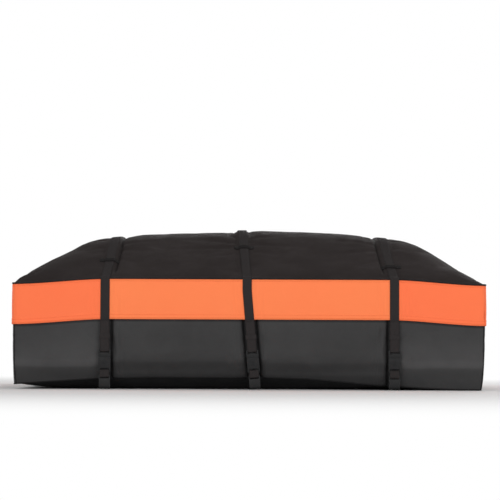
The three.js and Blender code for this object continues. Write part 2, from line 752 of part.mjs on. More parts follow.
// A webbing strip sewn to the lid on both sides of the strap, which passes under it
function keeperGeometry(strap, y, probe) {
  const half = WEB_WIDTH / 2;
  const hump = half + KEEPER_SIDE_GAP;
  const foot = half + KEEPER_FOOT_AT;
  const across = [-KEEPER_LENGTH / 2, -foot, -hump, hump, foot, KEEPER_LENGTH / 2];
  const rowY = (row) => y + (row / KEEPER_CELLS - 0.5) * KEEPER_WIDTH;
  const humpAt = (py) => {
    const x = strapLineX(strap, py);
    const nearby = [-1, 0, 1].flatMap((u) => [-1, 0, 1].map((t) => (
      probe(x + u * half, py + (t * KEEPER_WIDTH) / KEEPER_CELLS)
    )));
    return Math.max(...nearby) + WEB_THICKNESS + UNDER_KEEPER_GAP;
  };
  const humps = Array.from({ length: KEEPER_CELLS + 1 }, (unused, row) => humpAt(rowY(row)));
  return mappedBlock(across.length - 1, KEEPER_CELLS, (column, row, layer) => {
    const py = rowY(row);
    const x = strapLineX(strap, y) + across[column];
    const overStrap = Math.abs(across[column]) <= hump;
    const base = overStrap ? humps[row] : probe(x, py) + LIE_GAP;
    return { x, y: py, z: base + layer * KEEPER_THICKNESS };
  });
}

// Two round-ended turns joined by straights, as a band of webbing seen from its edge
function bandShape(lowTurn, highTurn, innerRadius, thickness) {
  const outer = innerRadius + thickness;
  const shape = new THREE.Shape();
  shape.absarc(0, highTurn, outer, 0, Math.PI, false);
  shape.absarc(0, lowTurn, outer, Math.PI, 2 * Math.PI, false);
  const hole = new THREE.Path();
  hole.absarc(0, highTurn, innerRadius, 0, Math.PI, false);
  hole.absarc(0, lowTurn, innerRadius, Math.PI, 2 * Math.PI, false);
  shape.holes.push(hole);
  return shape;
}

// Hardware, in a frame whose origin is under the hook, with the bag on the +Y side

function hookGeometry() {
  const half = HOOK_PLATE / 2;
  const bendY = HOOK_BEND;
  const lowZ = HOOK_BEND + half;
  const shape = new THREE.Shape();
  shape.moveTo(-half, HOOK_TOP);
  shape.lineTo(-half, lowZ);
  shape.absarc(bendY, lowZ, HOOK_BEND + half, Math.PI, 2 * Math.PI, false);
  shape.lineTo(HOOK_REACH + half, HOOK_LIP);
  shape.lineTo(HOOK_REACH - half, HOOK_LIP);
  shape.lineTo(HOOK_REACH - half, lowZ);
  shape.absarc(bendY, lowZ, HOOK_BEND - half, 2 * Math.PI, Math.PI, true);
  shape.lineTo(half, HOOK_TOP);
  const slotHalf = WEB_WIDTH / 2 + SLOT_SIDE_GAP;
  return cutFrom(profilePiece(shape, HOOK_WIDTH, 6), [
    box(-slotHalf, slotHalf, -HOOK_PLATE, HOOK_PLATE, HOOK_SLOT_LOW, HOOK_STRIP_LOW),
  ]);
}

function socketGeometry() {
  const halfW = BUCKLE_WIDTH / 2;
  const halfD = BUCKLE_DEPTH / 2;
  const slotHalf = WEB_WIDTH / 2 + SLOT_SIDE_GAP;
  const slotLow = SOCKET_LOW + SOCKET_BAR;
  const cavityLow = slotLow + SOCKET_SLOT + SOCKET_FLOOR;
  const outline = roundedRectangle(-halfW, halfW, SOCKET_LOW, SOCKET_TOP, SOCKET_CORNER);
  const windowLow = cavityLow + WINDOW_ABOVE_FLOOR;
  const windowHigh = SOCKET_TOP - WINDOW_BELOW_TOP;
  const slotHigh = slotLow + SOCKET_SLOT;
  return cutFrom(platePiece(outline, -halfD, halfD, 3), [
    box(-slotHalf, slotHalf, -BUCKLE_DEPTH, BUCKLE_DEPTH, slotLow, slotHigh),
    box(-slotHalf, slotHalf, BAR_RADIUS, BUCKLE_DEPTH, SOCKET_LOW - CUT_PAST, slotHigh),
    box(-slotHalf, slotHalf, -BUCKLE_DEPTH, -BAR_RADIUS, SOCKET_LOW - CUT_PAST, slotHigh),
    box(
      -halfW + BUCKLE_WALL,
      halfW - BUCKLE_WALL,
      -halfD + BUCKLE_WALL,
      halfD - BUCKLE_WALL,
      cavityLow,
      SOCKET_TOP + CUT_PAST,
    ),
    box(
      -halfW - CUT_PAST,
      halfW + CUT_PAST,
      -halfD + BUCKLE_WALL,
      halfD - BUCKLE_WALL,
      windowLow,
      windowHigh,
    ),
  ]);
}

function prongShape(way, cavityHalf, low, high) {
  const inner = cavityHalf - PRONG_WIDTH;
  const shape = new THREE.Shape();
  shape.moveTo(way * inner, high);
  shape.lineTo(way * (inner + PRONG_TAPER), low + GUIDE_SHORTER);
  shape.lineTo(way * (cavityHalf - PRONG_TIP), low);
  shape.lineTo(way * cavityHalf, low + PRONG_EAR_LOW);
  shape.lineTo(way * cavityHalf, low + PRONG_EAR_HIGH);
  shape.lineTo(way * (cavityHalf - PRONG_NECK), low + PRONG_NECK_AT);
  shape.lineTo(way * (cavityHalf - PRONG_NECK), high);
  return shape;
}

function plugGeometry() {
  const halfW = BUCKLE_WIDTH / 2;
  const halfD = BUCKLE_DEPTH / 2;
  const slotHalf = WEB_WIDTH / 2 + SLOT_SIDE_GAP;
  const shoulderLow = SOCKET_TOP + FIT_GAP;
  const railTop = PLUG_BAR_AT + BAR_RADIUS;
  const outline = roundedRectangle(-halfW, halfW, shoulderLow, railTop, PLUG_CORNER);
  const frame = cutFrom(platePiece(outline, -halfD, halfD, 3), [
    box(-slotHalf, slotHalf, -BUCKLE_DEPTH, BUCKLE_DEPTH, PLUG_SLOT_LOW, railTop + CUT_PAST),
  ]);
  const bar = new THREE.CylinderGeometry(BAR_RADIUS, BAR_RADIUS, 2 * (slotHalf + SINK), ROUND_SIDES);
  bar.rotateZ(Math.PI / 2);
  bar.translate(0, 0, PLUG_BAR_AT);
  const cavityHalf = halfW - BUCKLE_WALL - FIT_GAP;
  const prongDepth = halfD - BUCKLE_WALL - FIT_GAP;
  const prongLow = shoulderLow - PRONG_LENGTH;
  const rootZ = shoulderLow + SINK;
  const prongs = [-1, 1].map((way) => (
    platePiece(prongShape(way, cavityHalf, prongLow, rootZ), -prongDepth, prongDepth, 1)
  ));
  const guide = box(-GUIDE_HALF, GUIDE_HALF, -prongDepth, prongDepth, prongLow + GUIDE_SHORTER, rootZ);
  return joined([frame, bar, ...prongs, guide]);
}

function addStrapSet(strap, probe) {
  const points = strapPath(strap, probe);
  addPiece(bag, `${strap.name}_strap`, ribbon(points, WEB_WIDTH, WEB_THICKNESS), materials.webbing);
  [['front', -1], ['back', 1]].forEach(([end, way]) => {
    addPiece(
      bag,
      `${strap.name}_${end}_strap_keeper`,
      keeperGeometry(strap, way * strap.keeperY, probe),
      materials.webbing,
    );
  });

  const lean = Math.atan(leanSlope(strap));
  const front = new THREE.Group();
  front.position.set(strap.footX, FRONT_PLANE_Y, HARDWARE_BASE);
  front.rotation.y = lean;
  bag.add(front);
  addPiece(front, `${strap.name}_front_hook`, hookGeometry(), materials.steel);
  const link = bandShape(LINK_LOW_TURN, LINK_HIGH_TURN, LINK_INNER_RADIUS, WEB_THICKNESS);
  addPiece(front, `${strap.name}_hook_webbing`, profilePiece(link, WEB_WIDTH, 6), materials.webbing);
  addPiece(front, `${strap.name}_buckle_socket`, socketGeometry(), materials.plastic);
  addPiece(front, `${strap.name}_buckle_plug`, plugGeometry(), materials.plastic);

  const innerDepth = TURN_RADIUS + WEB_THICKNESS / 2 + FIT_GAP;
  const outerDepth = innerDepth + TAIL_KEEPER_THICKNESS;
  const innerHalf = WEB_WIDTH / 2 + 2 * FIT_GAP;
  const outerHalf = innerHalf + TAIL_KEEPER_THICKNESS;
  const low = PLUG_BAR_AT + TAIL_KEEPER_AT;
  const high = low + TAIL_KEEPER_HEIGHT;
  const tailKeeper = cutFrom(box(-outerHalf, outerHalf, -outerDepth, outerDepth, low, high), [
    box(-innerHalf, innerHalf, -innerDepth, innerDepth, low - CUT_PAST, high + CUT_PAST),
  ]);
  addPiece(front, `${strap.name}_tail_keeper`, tailKeeper, materials.webbing);

  const back = new THREE.Group();
  back.position.set(strapLineX(strap, HALF_WIDTH), BACK_PLANE_Y, HARDWARE_BASE);
  back.rotation.z = Math.PI;
  bag.add(back);
  addPiece(back, `${strap.name}_back_hook`, hookGeometry(), materials.steel);
}

const lid = addShell();
const probe = lidProbe(lid);
addPiping();
addZip();
STRAPS.forEach((strap) => addStrapSet(strap, probe));

export default bag;
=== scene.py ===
"""Looks of the soft cargo bag: cloth panels, webbing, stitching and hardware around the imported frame."""

import math

import bmesh
import bpy
import numpy as np
from mathutils import Matrix, Vector, noise
from mathutils.bvhtree import BVHTree


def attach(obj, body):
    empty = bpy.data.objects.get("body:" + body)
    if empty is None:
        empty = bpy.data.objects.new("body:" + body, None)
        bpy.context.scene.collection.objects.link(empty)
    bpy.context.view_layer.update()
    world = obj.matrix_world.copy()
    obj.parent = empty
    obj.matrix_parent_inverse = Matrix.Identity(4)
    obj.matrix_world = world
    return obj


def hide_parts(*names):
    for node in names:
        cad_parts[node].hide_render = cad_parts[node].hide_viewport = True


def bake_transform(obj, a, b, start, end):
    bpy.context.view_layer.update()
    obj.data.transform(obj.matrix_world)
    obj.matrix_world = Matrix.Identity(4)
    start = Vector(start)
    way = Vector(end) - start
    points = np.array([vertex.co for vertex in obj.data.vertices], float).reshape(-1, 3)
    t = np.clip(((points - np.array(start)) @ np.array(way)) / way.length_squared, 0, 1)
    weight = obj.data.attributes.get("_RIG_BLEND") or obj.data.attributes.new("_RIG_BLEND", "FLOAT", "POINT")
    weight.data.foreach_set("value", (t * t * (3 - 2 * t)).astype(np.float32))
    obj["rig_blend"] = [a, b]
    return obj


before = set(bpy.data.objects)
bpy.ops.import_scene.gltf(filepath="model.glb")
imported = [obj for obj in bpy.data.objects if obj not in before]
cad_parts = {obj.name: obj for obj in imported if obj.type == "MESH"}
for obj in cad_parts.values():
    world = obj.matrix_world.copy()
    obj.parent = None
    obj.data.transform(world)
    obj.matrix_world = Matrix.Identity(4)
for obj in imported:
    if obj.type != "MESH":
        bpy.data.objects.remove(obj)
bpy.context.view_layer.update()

MM = 0.001

# The bag's outline and seam heights, as in the part
LENGTH = 1.3
WIDTH = 1.0
CORNER_RADIUS = 0.022
HALF_LENGTH = LENGTH / 2
HALF_WIDTH = WIDTH / 2
CORE_X = HALF_LENGTH - CORNER_RADIUS
CORE_Y = HALF_WIDTH - CORNER_RADIUS
FIT_GAP = 0.0003
WALL_SEAM = 0.0004
FLAP_SEAM = 0.0005
ZIP_SEAM = 0.0006
TOP_SEAM_END = 0.287
TOP_SEAM_CROWN = 0.015
CROWN_RUN = 0.27
BOTTOM_SEAM_MID = 0.032
BELLY_CURL = 0.12
ZIP_HEIGHT = 0.236
TAPE_WIDTH = 0.0095
TAPE_THICKNESS = 0.002
FLAP_DROP = 0.11
PIPING_RADIUS = 0.0025

# The lid's slopes and dome
LID_TOP = 0.4574
END_SLOPE = 0.716
SIDE_SLOPE = 0.484
DOME_DROP_X = 0.0238
DOME_DROP_Y = 0.0148
DOME_SPAN_X = 0.465
DOME_SPAN_Y = 0.285
HIP_SOFTNESS = 0.0136
SHOULDER_SOFTNESS = 0.0156
GROOVE_RAMP = 0.2
GROOVE_BANK = 0.008
GROOVE_MARGIN = 0.0015
LID_INSET = 2 * PIPING_RADIUS + FIT_GAP
LID_HALF_X = HALF_LENGTH - LID_INSET
LID_HALF_Y = HALF_WIDTH - LID_INSET
LID_CORNER = CORNER_RADIUS - LID_INSET

# The straps and the hardware on them, as in the part
WEB_WIDTH = 0.025
WEB_THICKNESS = 0.0018
HALF_WEB = WEB_WIDTH / 2
STRAPS = [
    {
        "name": "left",
        "x": -0.397,
        "skew": 0,
        "bow": 0.011,
        "grooves": ((0.009, 0.012), (0.014, 0.03)),
        "foot_x": -0.397,
        "bend_z": 0.185,
        "keeper_y": 0.385,
    },
    {
        "name": "middle",
        "x": -0.021,
        "skew": -0.0275,
        "bow": -0.007,
        "grooves": ((0.004, 0.025), (0.006, 0.018)),
        "foot_x": 0.016,
        "bend_z": 0.272,
        "keeper_y": 0.305,
    },
    {
        "name": "right",
        "x": 0.397,
        "skew": 0,
        "bow": -0.018,
        "grooves": ((0.014, 0.03), (0.009, 0.012)),
        "foot_x": 0.397,
        "bend_z": 0.185,
        "keeper_y": 0.422,
    },
]
HARDWARE_BASE = 0.0015
BAR_RADIUS = 0.0017
PLUG_BAR_AT = 0.105
TAIL_LENGTH = 0.082
LINK_TURN = 0.0041
LINK_LOW_TURN = 0.036
BACK_LOOP_END = 0.058
MAIN_OFFSET = WEB_THICKNESS / 2 + FIT_GAP
TURN_RADIUS = BAR_RADIUS + MAIN_OFFSET
FRONT_MAIN_Y = -HALF_WIDTH - MAIN_OFFSET
FRONT_PLANE_Y = FRONT_MAIN_Y - TURN_RADIUS
BACK_MAIN_Y = HALF_WIDTH + MAIN_OFFSET
BACK_PLANE_Y = BACK_MAIN_Y + LINK_TURN

# The visible cloth
CLOTH = 0.0016
CELL = 0.008
CLOTH_FRAMES = 20


# Shape of the bag


def smooth_ramp(t):
    c = np.clip(t, 0, 1)
    return c * c * (3 - 2 * c)


def top_seam(x):
    return TOP_SEAM_END + TOP_SEAM_CROWN * smooth_ramp((HALF_LENGTH - np.abs(x)) / CROWN_RUN)


def belly_edge(x):
    return BOTTOM_SEAM_MID * (1 - (x / HALF_LENGTH) ** 2)


def strap_line_x(strap, y):
    return strap["x"] + strap["skew"] * y + strap["bow"] * (1 - (y / HALF_WIDTH) ** 2)


def lean_slope(strap):
    return (strap_line_x(strap, -HALF_WIDTH) - strap["foot_x"]) / (strap["bend_z"] - HARDWARE_BASE)


def front_strap_x(strap, z):
    return strap_line_x(strap, -HALF_WIDTH) - np.maximum(0, strap["bend_z"] - z) * lean_slope(strap)


def soft_lower(a, b, softness):
    h = np.clip(0.5 + 0.5 * (b - a) / softness, 0, 1)
    return b + (a - b) * h - softness * h * (1 - h)


def lid_height(x, y):
    from_end = HALF_LENGTH - np.abs(x)
    from_side = HALF_WIDTH - np.abs(y)
    end = TOP_SEAM_END + END_SLOPE * from_end
    side = top_seam(x) + SIDE_SLOPE * from_side
    dome = LID_TOP - DOME_DROP_X * (x / DOME_SPAN_X) ** 2 - DOME_DROP_Y * (y / DOME_SPAN_Y) ** 2
    height = soft_lower(soft_lower(end, side, HIP_SOFTNESS), dome, SHOULDER_SOFTNESS)
    ramp = smooth_ramp(np.minimum(from_end, from_side) / GROOVE_RAMP)
    for strap in STRAPS:
        offset = x - strap_line_x(strap, y)
        away = np.maximum(0, np.abs(offset) - HALF_WEB - GROOVE_MARGIN)
        (low_depth, low_spread), (high_depth, high_spread) = strap["grooves"]
        depth = np.where(offset < 0, low_depth, high_depth)
        spread = np.where(offset < 0, low_spread, high_spread)
        height = height - depth * ramp * np.minimum(1, away / GROOVE_BANK) * np.exp(-away / spread)
    return height


def noise_field(points, wavelength, seed):
    """Smooth noise of about -1 to 1 at each point of an array of points"""
    shift = Vector((seed * 17.3, seed * 5.1, seed * 9.7))
    flat = points.reshape(-1, 3) / wavelength
    values = np.array([noise.noise(Vector(p) + shift) for p in flat])
    return values.reshape(points.shape[:-1])

# Across a fold: a valley, and a weaker and wider swell on both sides of it
SWELL_SHARE = 0.45
SWELL_WIDTH = 2.2


def bell(offset, width):
    return np.exp(-((offset / width) ** 2))


def crease_field(points, creases, axes):
    """Sum of soft folds, each from a start to an end in the plane of two axes"""
    total = np.zeros(points.shape[:-1])
    plane = points[..., list(axes)]
    for start, end, depth, width in creases:
        start = np.array(start)
        along = np.array(end) - start
        share = ((plane - start) @ along) / (along @ along)
        nearest = start + np.clip(share, 0, 1)[..., None] * along
        away = np.linalg.norm(plane - nearest, axis=-1)
        fade = np.clip(1 - share, 0, 1) ** 0.7
        total += depth * fade * (bell(away, width) - SWELL_SHARE * bell(away, SWELL_WIDTH * width))
    return total


def grid_lines(anchors, widest):
    """The anchors in order, with the wide spaces between them divided"""
    ordered = sorted(anchors)
    lines = [ordered[0]]
    for low, high in zip(ordered, ordered[1:]):
        parts = max(1, math.ceil((high - low) / widest))
        lines.extend(low + (high - low) * k / parts for k in range(1, parts + 1))
    return np.array(lines)


# Mesh making


def add_object(name, vertices, faces):
    mesh = bpy.data.meshes.new(name)
    mesh.from_pydata(vertices, [], faces)
    mesh.update()
    obj = bpy.data.objects.new(name, mesh)
    bpy.context.scene.collection.objects.link(obj)
    return obj


def set_uv(obj, per_vertex):
    """Gives each vertex its place on the flat cloth, in metres, for the weave and the ribs"""
    layer = obj.data.uv_layers.new(name="cloth")
    loops = np.zeros(len(obj.data.loops), np.int32)
    obj.data.loops.foreach_get("vertex_index", loops)
    layer.data.foreach_set("uv", np.asarray(per_vertex, np.float32)[loops].ravel())


def grid_faces(rows, cols, first=0, flip=False):
    index = first + np.arange(rows * cols).reshape(rows, cols)
    quads = np.stack([index[:-1, :-1], index[:-1, 1:], index[1:, 1:], index[1:, :-1]], -1).reshape(-1, 4)
    return quads[:, ::-1] if flip else quads


def unit(vectors):
    return vectors / np.maximum(np.linalg.norm(vectors, axis=-1, keepdims=True), 1e-12)


def grid_normals(points):
    """Unit normals of a grid of points, on the side from which columns x rows turn anticlockwise"""
    return unit(np.cross(np.gradient(points, axis=1), np.gradient(points, axis=0)))


def run_along(points):
    """The distance run along a line of points, at each of them"""
    lengths = np.linalg.norm(np.diff(points, axis=0), axis=1)
    return np.concatenate([[0], np.cumsum(lengths)])


def flat_places(across, along):
    """A grid's places on the flat cloth, from a number for each column and one for each row"""
    return np.stack(np.broadcast_arrays(across, along), -1)


def ring_faces(index):
    """The faces between rings of points that follow each other, from a grid of rings by points"""
    following = np.roll(index, -1, -1)
    low, low_next = index[..., :-1, :], following[..., :-1, :]
    high, high_next = index[..., 1:, :], following[..., 1:, :]
    return np.stack([low, low_next, high_next, high], -1).reshape(-1, 4).tolist()


def shell(name, outer, inner, uv):
    """A closed sheet between an outer and an inner grid of points"""
    rows, cols = outer.shape[:2]
    count = rows * cols
    faces = [grid_faces(rows, cols), grid_faces(rows, cols, count, True)]
    index = np.arange(count).reshape(rows, cols)
    rim = np.concatenate([index[0, :-1], index[:-1, -1], index[-1, :0:-1], index[:0:-1, 0]])
    following = np.roll(rim, -1)
    faces.append(np.stack([rim, rim + count, following + count, following], -1))
    vertices = np.concatenate([outer.reshape(-1, 3), inner.reshape(-1, 3)])
    obj = add_object(name, vertices.tolist(), np.concatenate(faces).tolist())
    set_uv(obj, np.concatenate([uv.reshape(-1, 2), uv.reshape(-1, 2)]))
    obj.data.shade_smooth()
    return obj


def tube(name, centres, radius, sides, closed=False, up=(0, 0, 1)):
    """A round tube along a line of points, with its circumference and length as its flat cloth"""
    if closed:
        travel = np.roll(centres, -1, 0) - np.roll(centres, 1, 0)
    else:
        travel = np.gradient(centres, axis=0)
    travel = unit(travel)
    side = unit(np.cross(travel, up))
    upward = np.cross(side, travel)
    angles = np.linspace(0, 2 * math.pi, sides, endpoint=False)
    turn = angles[None, :, None]
    ring = side[:, None] * np.cos(turn) + upward[:, None] * np.sin(turn)
    points = centres[:, None] + ring * radius
    index = np.arange(len(centres) * sides).reshape(-1, sides)
    if closed:
        faces = ring_faces(np.concatenate([index, index[:1]]))
    else:
        faces = ring_faces(index) + [index[0, ::-1].tolist(), index[-1].tolist()]
    obj = add_object(name, points.reshape(-1, 3).tolist(), faces)
    uv = flat_places(angles[None, :] * radius, run_along(centres)[:, None])
    set_uv(obj, uv.reshape(-1, 2))
    obj.data.shade_smooth()
    return obj


def settle_cloth(points, held, pressure, grow, cap):
    """Settles a sheet of cloth that is held where held is 1, a little larger than its place and under
    the load's pressure, and returns its points, moved by cap at most"""
    rows, cols = points.shape[:2]
    sheet = add_object("settling_cloth", points.reshape(-1, 3).tolist(), grid_faces(rows, cols).tolist())
    group = sheet.vertex_groups.new(name="held")
    flat_held = held.reshape(-1)
    for weight in np.unique(flat_held[flat_held > 0]):
        group.add(np.flatnonzero(flat_held == weight).tolist(), float(weight), "REPLACE")
    cloth = sheet.modifiers.new("settle", "CLOTH")
    settings = cloth.settings
    settings.quality = 5
    settings.mass = 0.2
    settings.tension_stiffness = 25
    settings.compression_stiffness = 25
    settings.shear_stiffness = 8
    settings.bending_stiffness = 0.6
    settings.vertex_group_mass = "held"
    settings.shrink_min = -grow
    settings.shrink_max = -grow
    settings.use_pressure = True
    settings.uniform_pressure_force = pressure
    settings.effector_weights.gravity = 0
    cloth.point_cache.frame_start = 1
    cloth.point_cache.frame_end = CLOTH_FRAMES
    scene = bpy.context.scene
    for number in range(1, CLOTH_FRAMES + 1):
        scene.frame_set(number)
    evaluated = sheet.evaluated_get(bpy.context.evaluated_depsgraph_get())
    settled = np.zeros(rows * cols * 3, np.float32)
    evaluated.data.vertices.foreach_get("co", settled)
    moved = settled.reshape(rows, cols, 3).astype(float) - points
    scene.frame_set(1)
    mesh = sheet.data
    bpy.data.objects.remove(sheet)
    bpy.data.meshes.remove(mesh)
    size = np.linalg.norm(moved, axis=-1, keepdims=True)
    eased = cap * np.tanh(size / cap)
    return points + moved * eased / np.maximum(size, 1e-9)


# Stations along the outline. Each has a point of the inner rectangle, the outward direction and
# the distance run along the outline.

SIDES = {
    "front": ((-CORE_X, -CORE_Y), (1, 0), CORE_X),
    "right": ((CORE_X, -CORE_Y), (0, 1), CORE_Y),
    "back": ((CORE_X, CORE_Y), (-1, 0), CORE_X),
    "left": ((-CORE_X, CORE_Y), (0, -1), CORE_Y),
}
ARC_STEPS = 6
FINE_CELL = 0.0026
FINE_CELLS = 22


def straight_shares(name, half, spacing):
    """Distances along a side's straight stretch, with more of them beside the straps on long sides"""
    anchors = [0, 2 * half]
    if spacing == CELL and name in ("front", "back"):
        for strap in STRAPS:
            middle = strap_line_x(strap, -HALF_WIDTH if name == "front" else HALF_WIDTH)
            reach = half + middle if name == "front" else half - middle
            anchors += [reach + k * FINE_CELL for k in range(-FINE_CELLS, FINE_CELLS + 1)]
    return grid_lines(anchors, spacing)[1:-1]


def side_run(names, seam_gap, spacing=CELL):
    """The stations of some neighbouring sides, from the middle of one corner to that of another"""
    stations = []
    quarter = math.pi / 4
    trim = seam_gap / (2 * CORNER_RADIUS)
    for i, name in enumerate(names):
        corner, along, half = SIDES[name]
        outward = math.atan2(-along[0], along[1])
        end = (corner[0] + 2 * half * along[0], corner[1] + 2 * half * along[1])
        first = trim if i == 0 else 0
        last = trim if i == len(names) - 1 else 0
        for a in np.linspace(first - quarter, 0, ARC_STEPS + 1):
            stations.append((corner[0], corner[1], outward + a))
        for share in straight_shares(name, half, spacing):
            stations.append((corner[0] + share * along[0], corner[1] + share * along[1], outward))
        for a in np.linspace(0, quarter - last, ARC_STEPS + 1):
            stations.append((end[0], end[1], outward + a))
    core_x, core_y, angle = np.array(stations).T
    keep = np.ones(len(core_x), bool)
    keep[1:] = (np.abs(np.diff(core_x)) + np.abs(np.diff(core_y)) + np.abs(np.diff(angle))) > 1e-9
    core_x, core_y, angle = core_x[keep], core_y[keep], angle[keep]
    out_x, out_y = np.cos(angle), np.sin(angle)
    x, y = core_x + out_x * CORNER_RADIUS, core_y + out_y * CORNER_RADIUS
    run = np.concatenate([[0], np.cumsum(np.hypot(np.diff(x), np.diff(y)))])
    return {"x": core_x, "y": core_y, "out_x": out_x, "out_y": out_y, "run": run}


def outline_at(run, inset):
    """X and Y of the stations, at an inset from the outline"""
    reach = CORNER_RADIUS - inset
    return run["x"] + run["out_x"] * reach, run["y"] + run["out_y"] * reach


def standing_points(run, inset, height):
    """Points at an inset from the outline and a height, both grids of rows by stations"""
    return np.stack(np.broadcast_arrays(*outline_at(run, inset), height), -1)


def standing_shell(name, run, outer, thickness, height):
    """A closed sheet that stands along a run of stations, from its outer face's inset and height"""
    inner = standing_points(run, outer + thickness, height)
    return shell(name, standing_points(run, outer, height), inner, flat_places(run["run"], height))


# Materials


def new_material(name, color, roughness, specular):
    material = bpy.data.materials.new(name)
    material.use_nodes = True
    shader = material.node_tree.nodes["Principled BSDF"]
    shader.inputs["Base Color"].default_value = (*color, 1)
    shader.inputs["Roughness"].default_value = roughness
    shader.inputs["Specular IOR Level"].default_value = specular
    return material


class Nodes:
    """Short ways to add and join the nodes of a material or a world"""

    def __init__(self, owner):
        self.tree = owner.node_tree

    def put(self, socket, value):
        """Joins another node's output to a socket, or gives the socket a value of its own"""
        if isinstance(value, bpy.types.NodeSocket):
            self.tree.links.new(value, socket)
        else:
            socket.default_value = value

    def set(self, socket, value):
        self.put(self.tree.nodes["Principled BSDF"].inputs[socket], value)

    def add(self, kind, **inputs):
        node = self.tree.nodes.new(kind)
        for key, value in inputs.items():
            self.put(node.inputs[key.replace("_", " ")], value)
        return node

    def calculate(self, kind, operation, *values):
        node = self.add(kind)
        node.operation = operation
        for socket, value in zip(node.inputs, values):
            self.put(socket, value)
        return node

    def math(self, operation, *values):
        return self.calculate("ShaderNodeMath", operation, *values).outputs[0]

    def weighed(self, a, share_a, b, share_b):
        """The sum of two values, each times its own share"""
        return self.math("ADD", self.math("MULTIPLY", a, share_a), self.math("MULTIPLY", b, share_b))

    def place(self):
        return self.add("ShaderNodeTexCoord").outputs["Object"]

    def split_place(self):
        return self.add("ShaderNodeSeparateXYZ", Vector=self.place()).outputs

    def cloth_place(self):
        """The place on the flat cloth, as two numbers in metres"""
        uv = self.add("ShaderNodeUVMap")
        uv.uv_map = "cloth"
        split = self.add("ShaderNodeSeparateXYZ", Vector=uv.outputs["UV"])
        return split.outputs["X"], split.outputs["Y"]

    def noise(self, scale, detail=3.0, roughness=0.55):
        made = self.add("ShaderNodeTexNoise", Vector=self.place(), Scale=scale, Detail=detail)
        self.put(made.inputs["Roughness"], roughness)
        return made.outputs["Fac"]

    def wave(self, place, pitch, shift=None):
        turned = self.math("MULTIPLY", place, 2 * math.pi / pitch)
        if shift is not None:
            turned = self.math("ADD", turned, shift)
        return self.math("SINE", turned)

    def ramp(self, value, low, high, to_low=0.0, to_high=1.0):
        made = self.add("ShaderNodeMapRange", Value=value, From_Min=low, From_Max=high)
        self.put(made.inputs["To Min"], to_low)
        self.put(made.inputs["To Max"], to_high)
        return made.outputs["Result"]

    def blend(self, factor, low_color, high_color):
        made = self.add("ShaderNodeMix")
        made.data_type = "RGBA"
        self.put(made.inputs["Factor"], factor)
        self.put(made.inputs["A"], (*low_color, 1))
        self.put(made.inputs["B"], (*high_color, 1))
        return made.outputs["Result"]

    def bump(self, height, distance, under=None):
        node = self.add("ShaderNodeBump", Height=height, Distance=distance)
        if under is not None:
            self.put(node.inputs["Normal"], under)
        return node.outputs["Normal"]

    def edges(self, radius, turned_from):
        """1 on the edges and 0 on flat faces, by how far a bevel of a radius would turn them"""
        bevel = self.add("ShaderNodeBevel", Radius=radius)
        bevel.samples = 4
        face = self.add("ShaderNodeNewGeometry").outputs["Normal"]
        turned = self.calculate("ShaderNodeVectorMath", "DISTANCE", bevel.outputs["Normal"], face)
        return self.ramp(turned.outputs["Value"], turned_from, 0.5)

    def mix_shaders(self, factor, first, second, output):
        mix = self.add("ShaderNodeMixShader", Fac=factor)
        self.put(mix.inputs[1], first)
        self.put(mix.inputs[2], second)
        self.put(output.inputs["Surface"], mix.outputs["Shader"])


# The walls' painted light and shade at heights, between the outer straps and outside them. A painted shadow
# makes a dark line under the hem.
HEM_SHADOW_REACH = (0.0042, 0.008)
HEM_SHADOW_TONE = 0.45
TONE_HEIGHT = 0.24
OUTER_PART = (0.38, 0.42)
PAINTED_LIGHT_LOWER = 0.014
PAINTED_LIGHT_WANDER = 0.014
INNER_PAINTED_LIGHT = (
    (0, 0.66),
    (0.036, 0.74),
    (0.046, 0.9),
    (0.054, 0.79),
    (0.066, 0.71),
    (0.072, 0.77),
    (0.080, 0.91),
    (0.100, 0.92),
    (0.150, 0.88),
    (0.185, 0.97),
    (0.24, 1.0),
)
OUTER_PAINTED_LIGHT = (
    (0, 0.8),
    (0.040, 0.88),
    (0.062, 0.88),
    (0.072, 1.0),
    (0.080, 1.42),
    (0.088, 1.5),
    (0.100, 1.33),
    (0.125, 1.16),
    (0.150, 1.02),
    (0.185, 0.96),
    (0.24, 0.98),
)


def tone_curve(n, share, stops):
    """A curve through tones at heights. It gives half a tone, since a curve ends at 1."""
    curve = n.add("ShaderNodeFloatCurve")
    points = curve.mapping.curves[0].points
    points[0].location = (0, stops[0][1] / 2)
    points[1].location = (1, stops[-1][1] / 2)
    for z, tone in stops[1:-1]:
        points.new(z / TONE_HEIGHT, tone / 2)
    curve.mapping.update()
    n.put(curve.inputs["Value"], share)
    return curve.outputs["Value"]


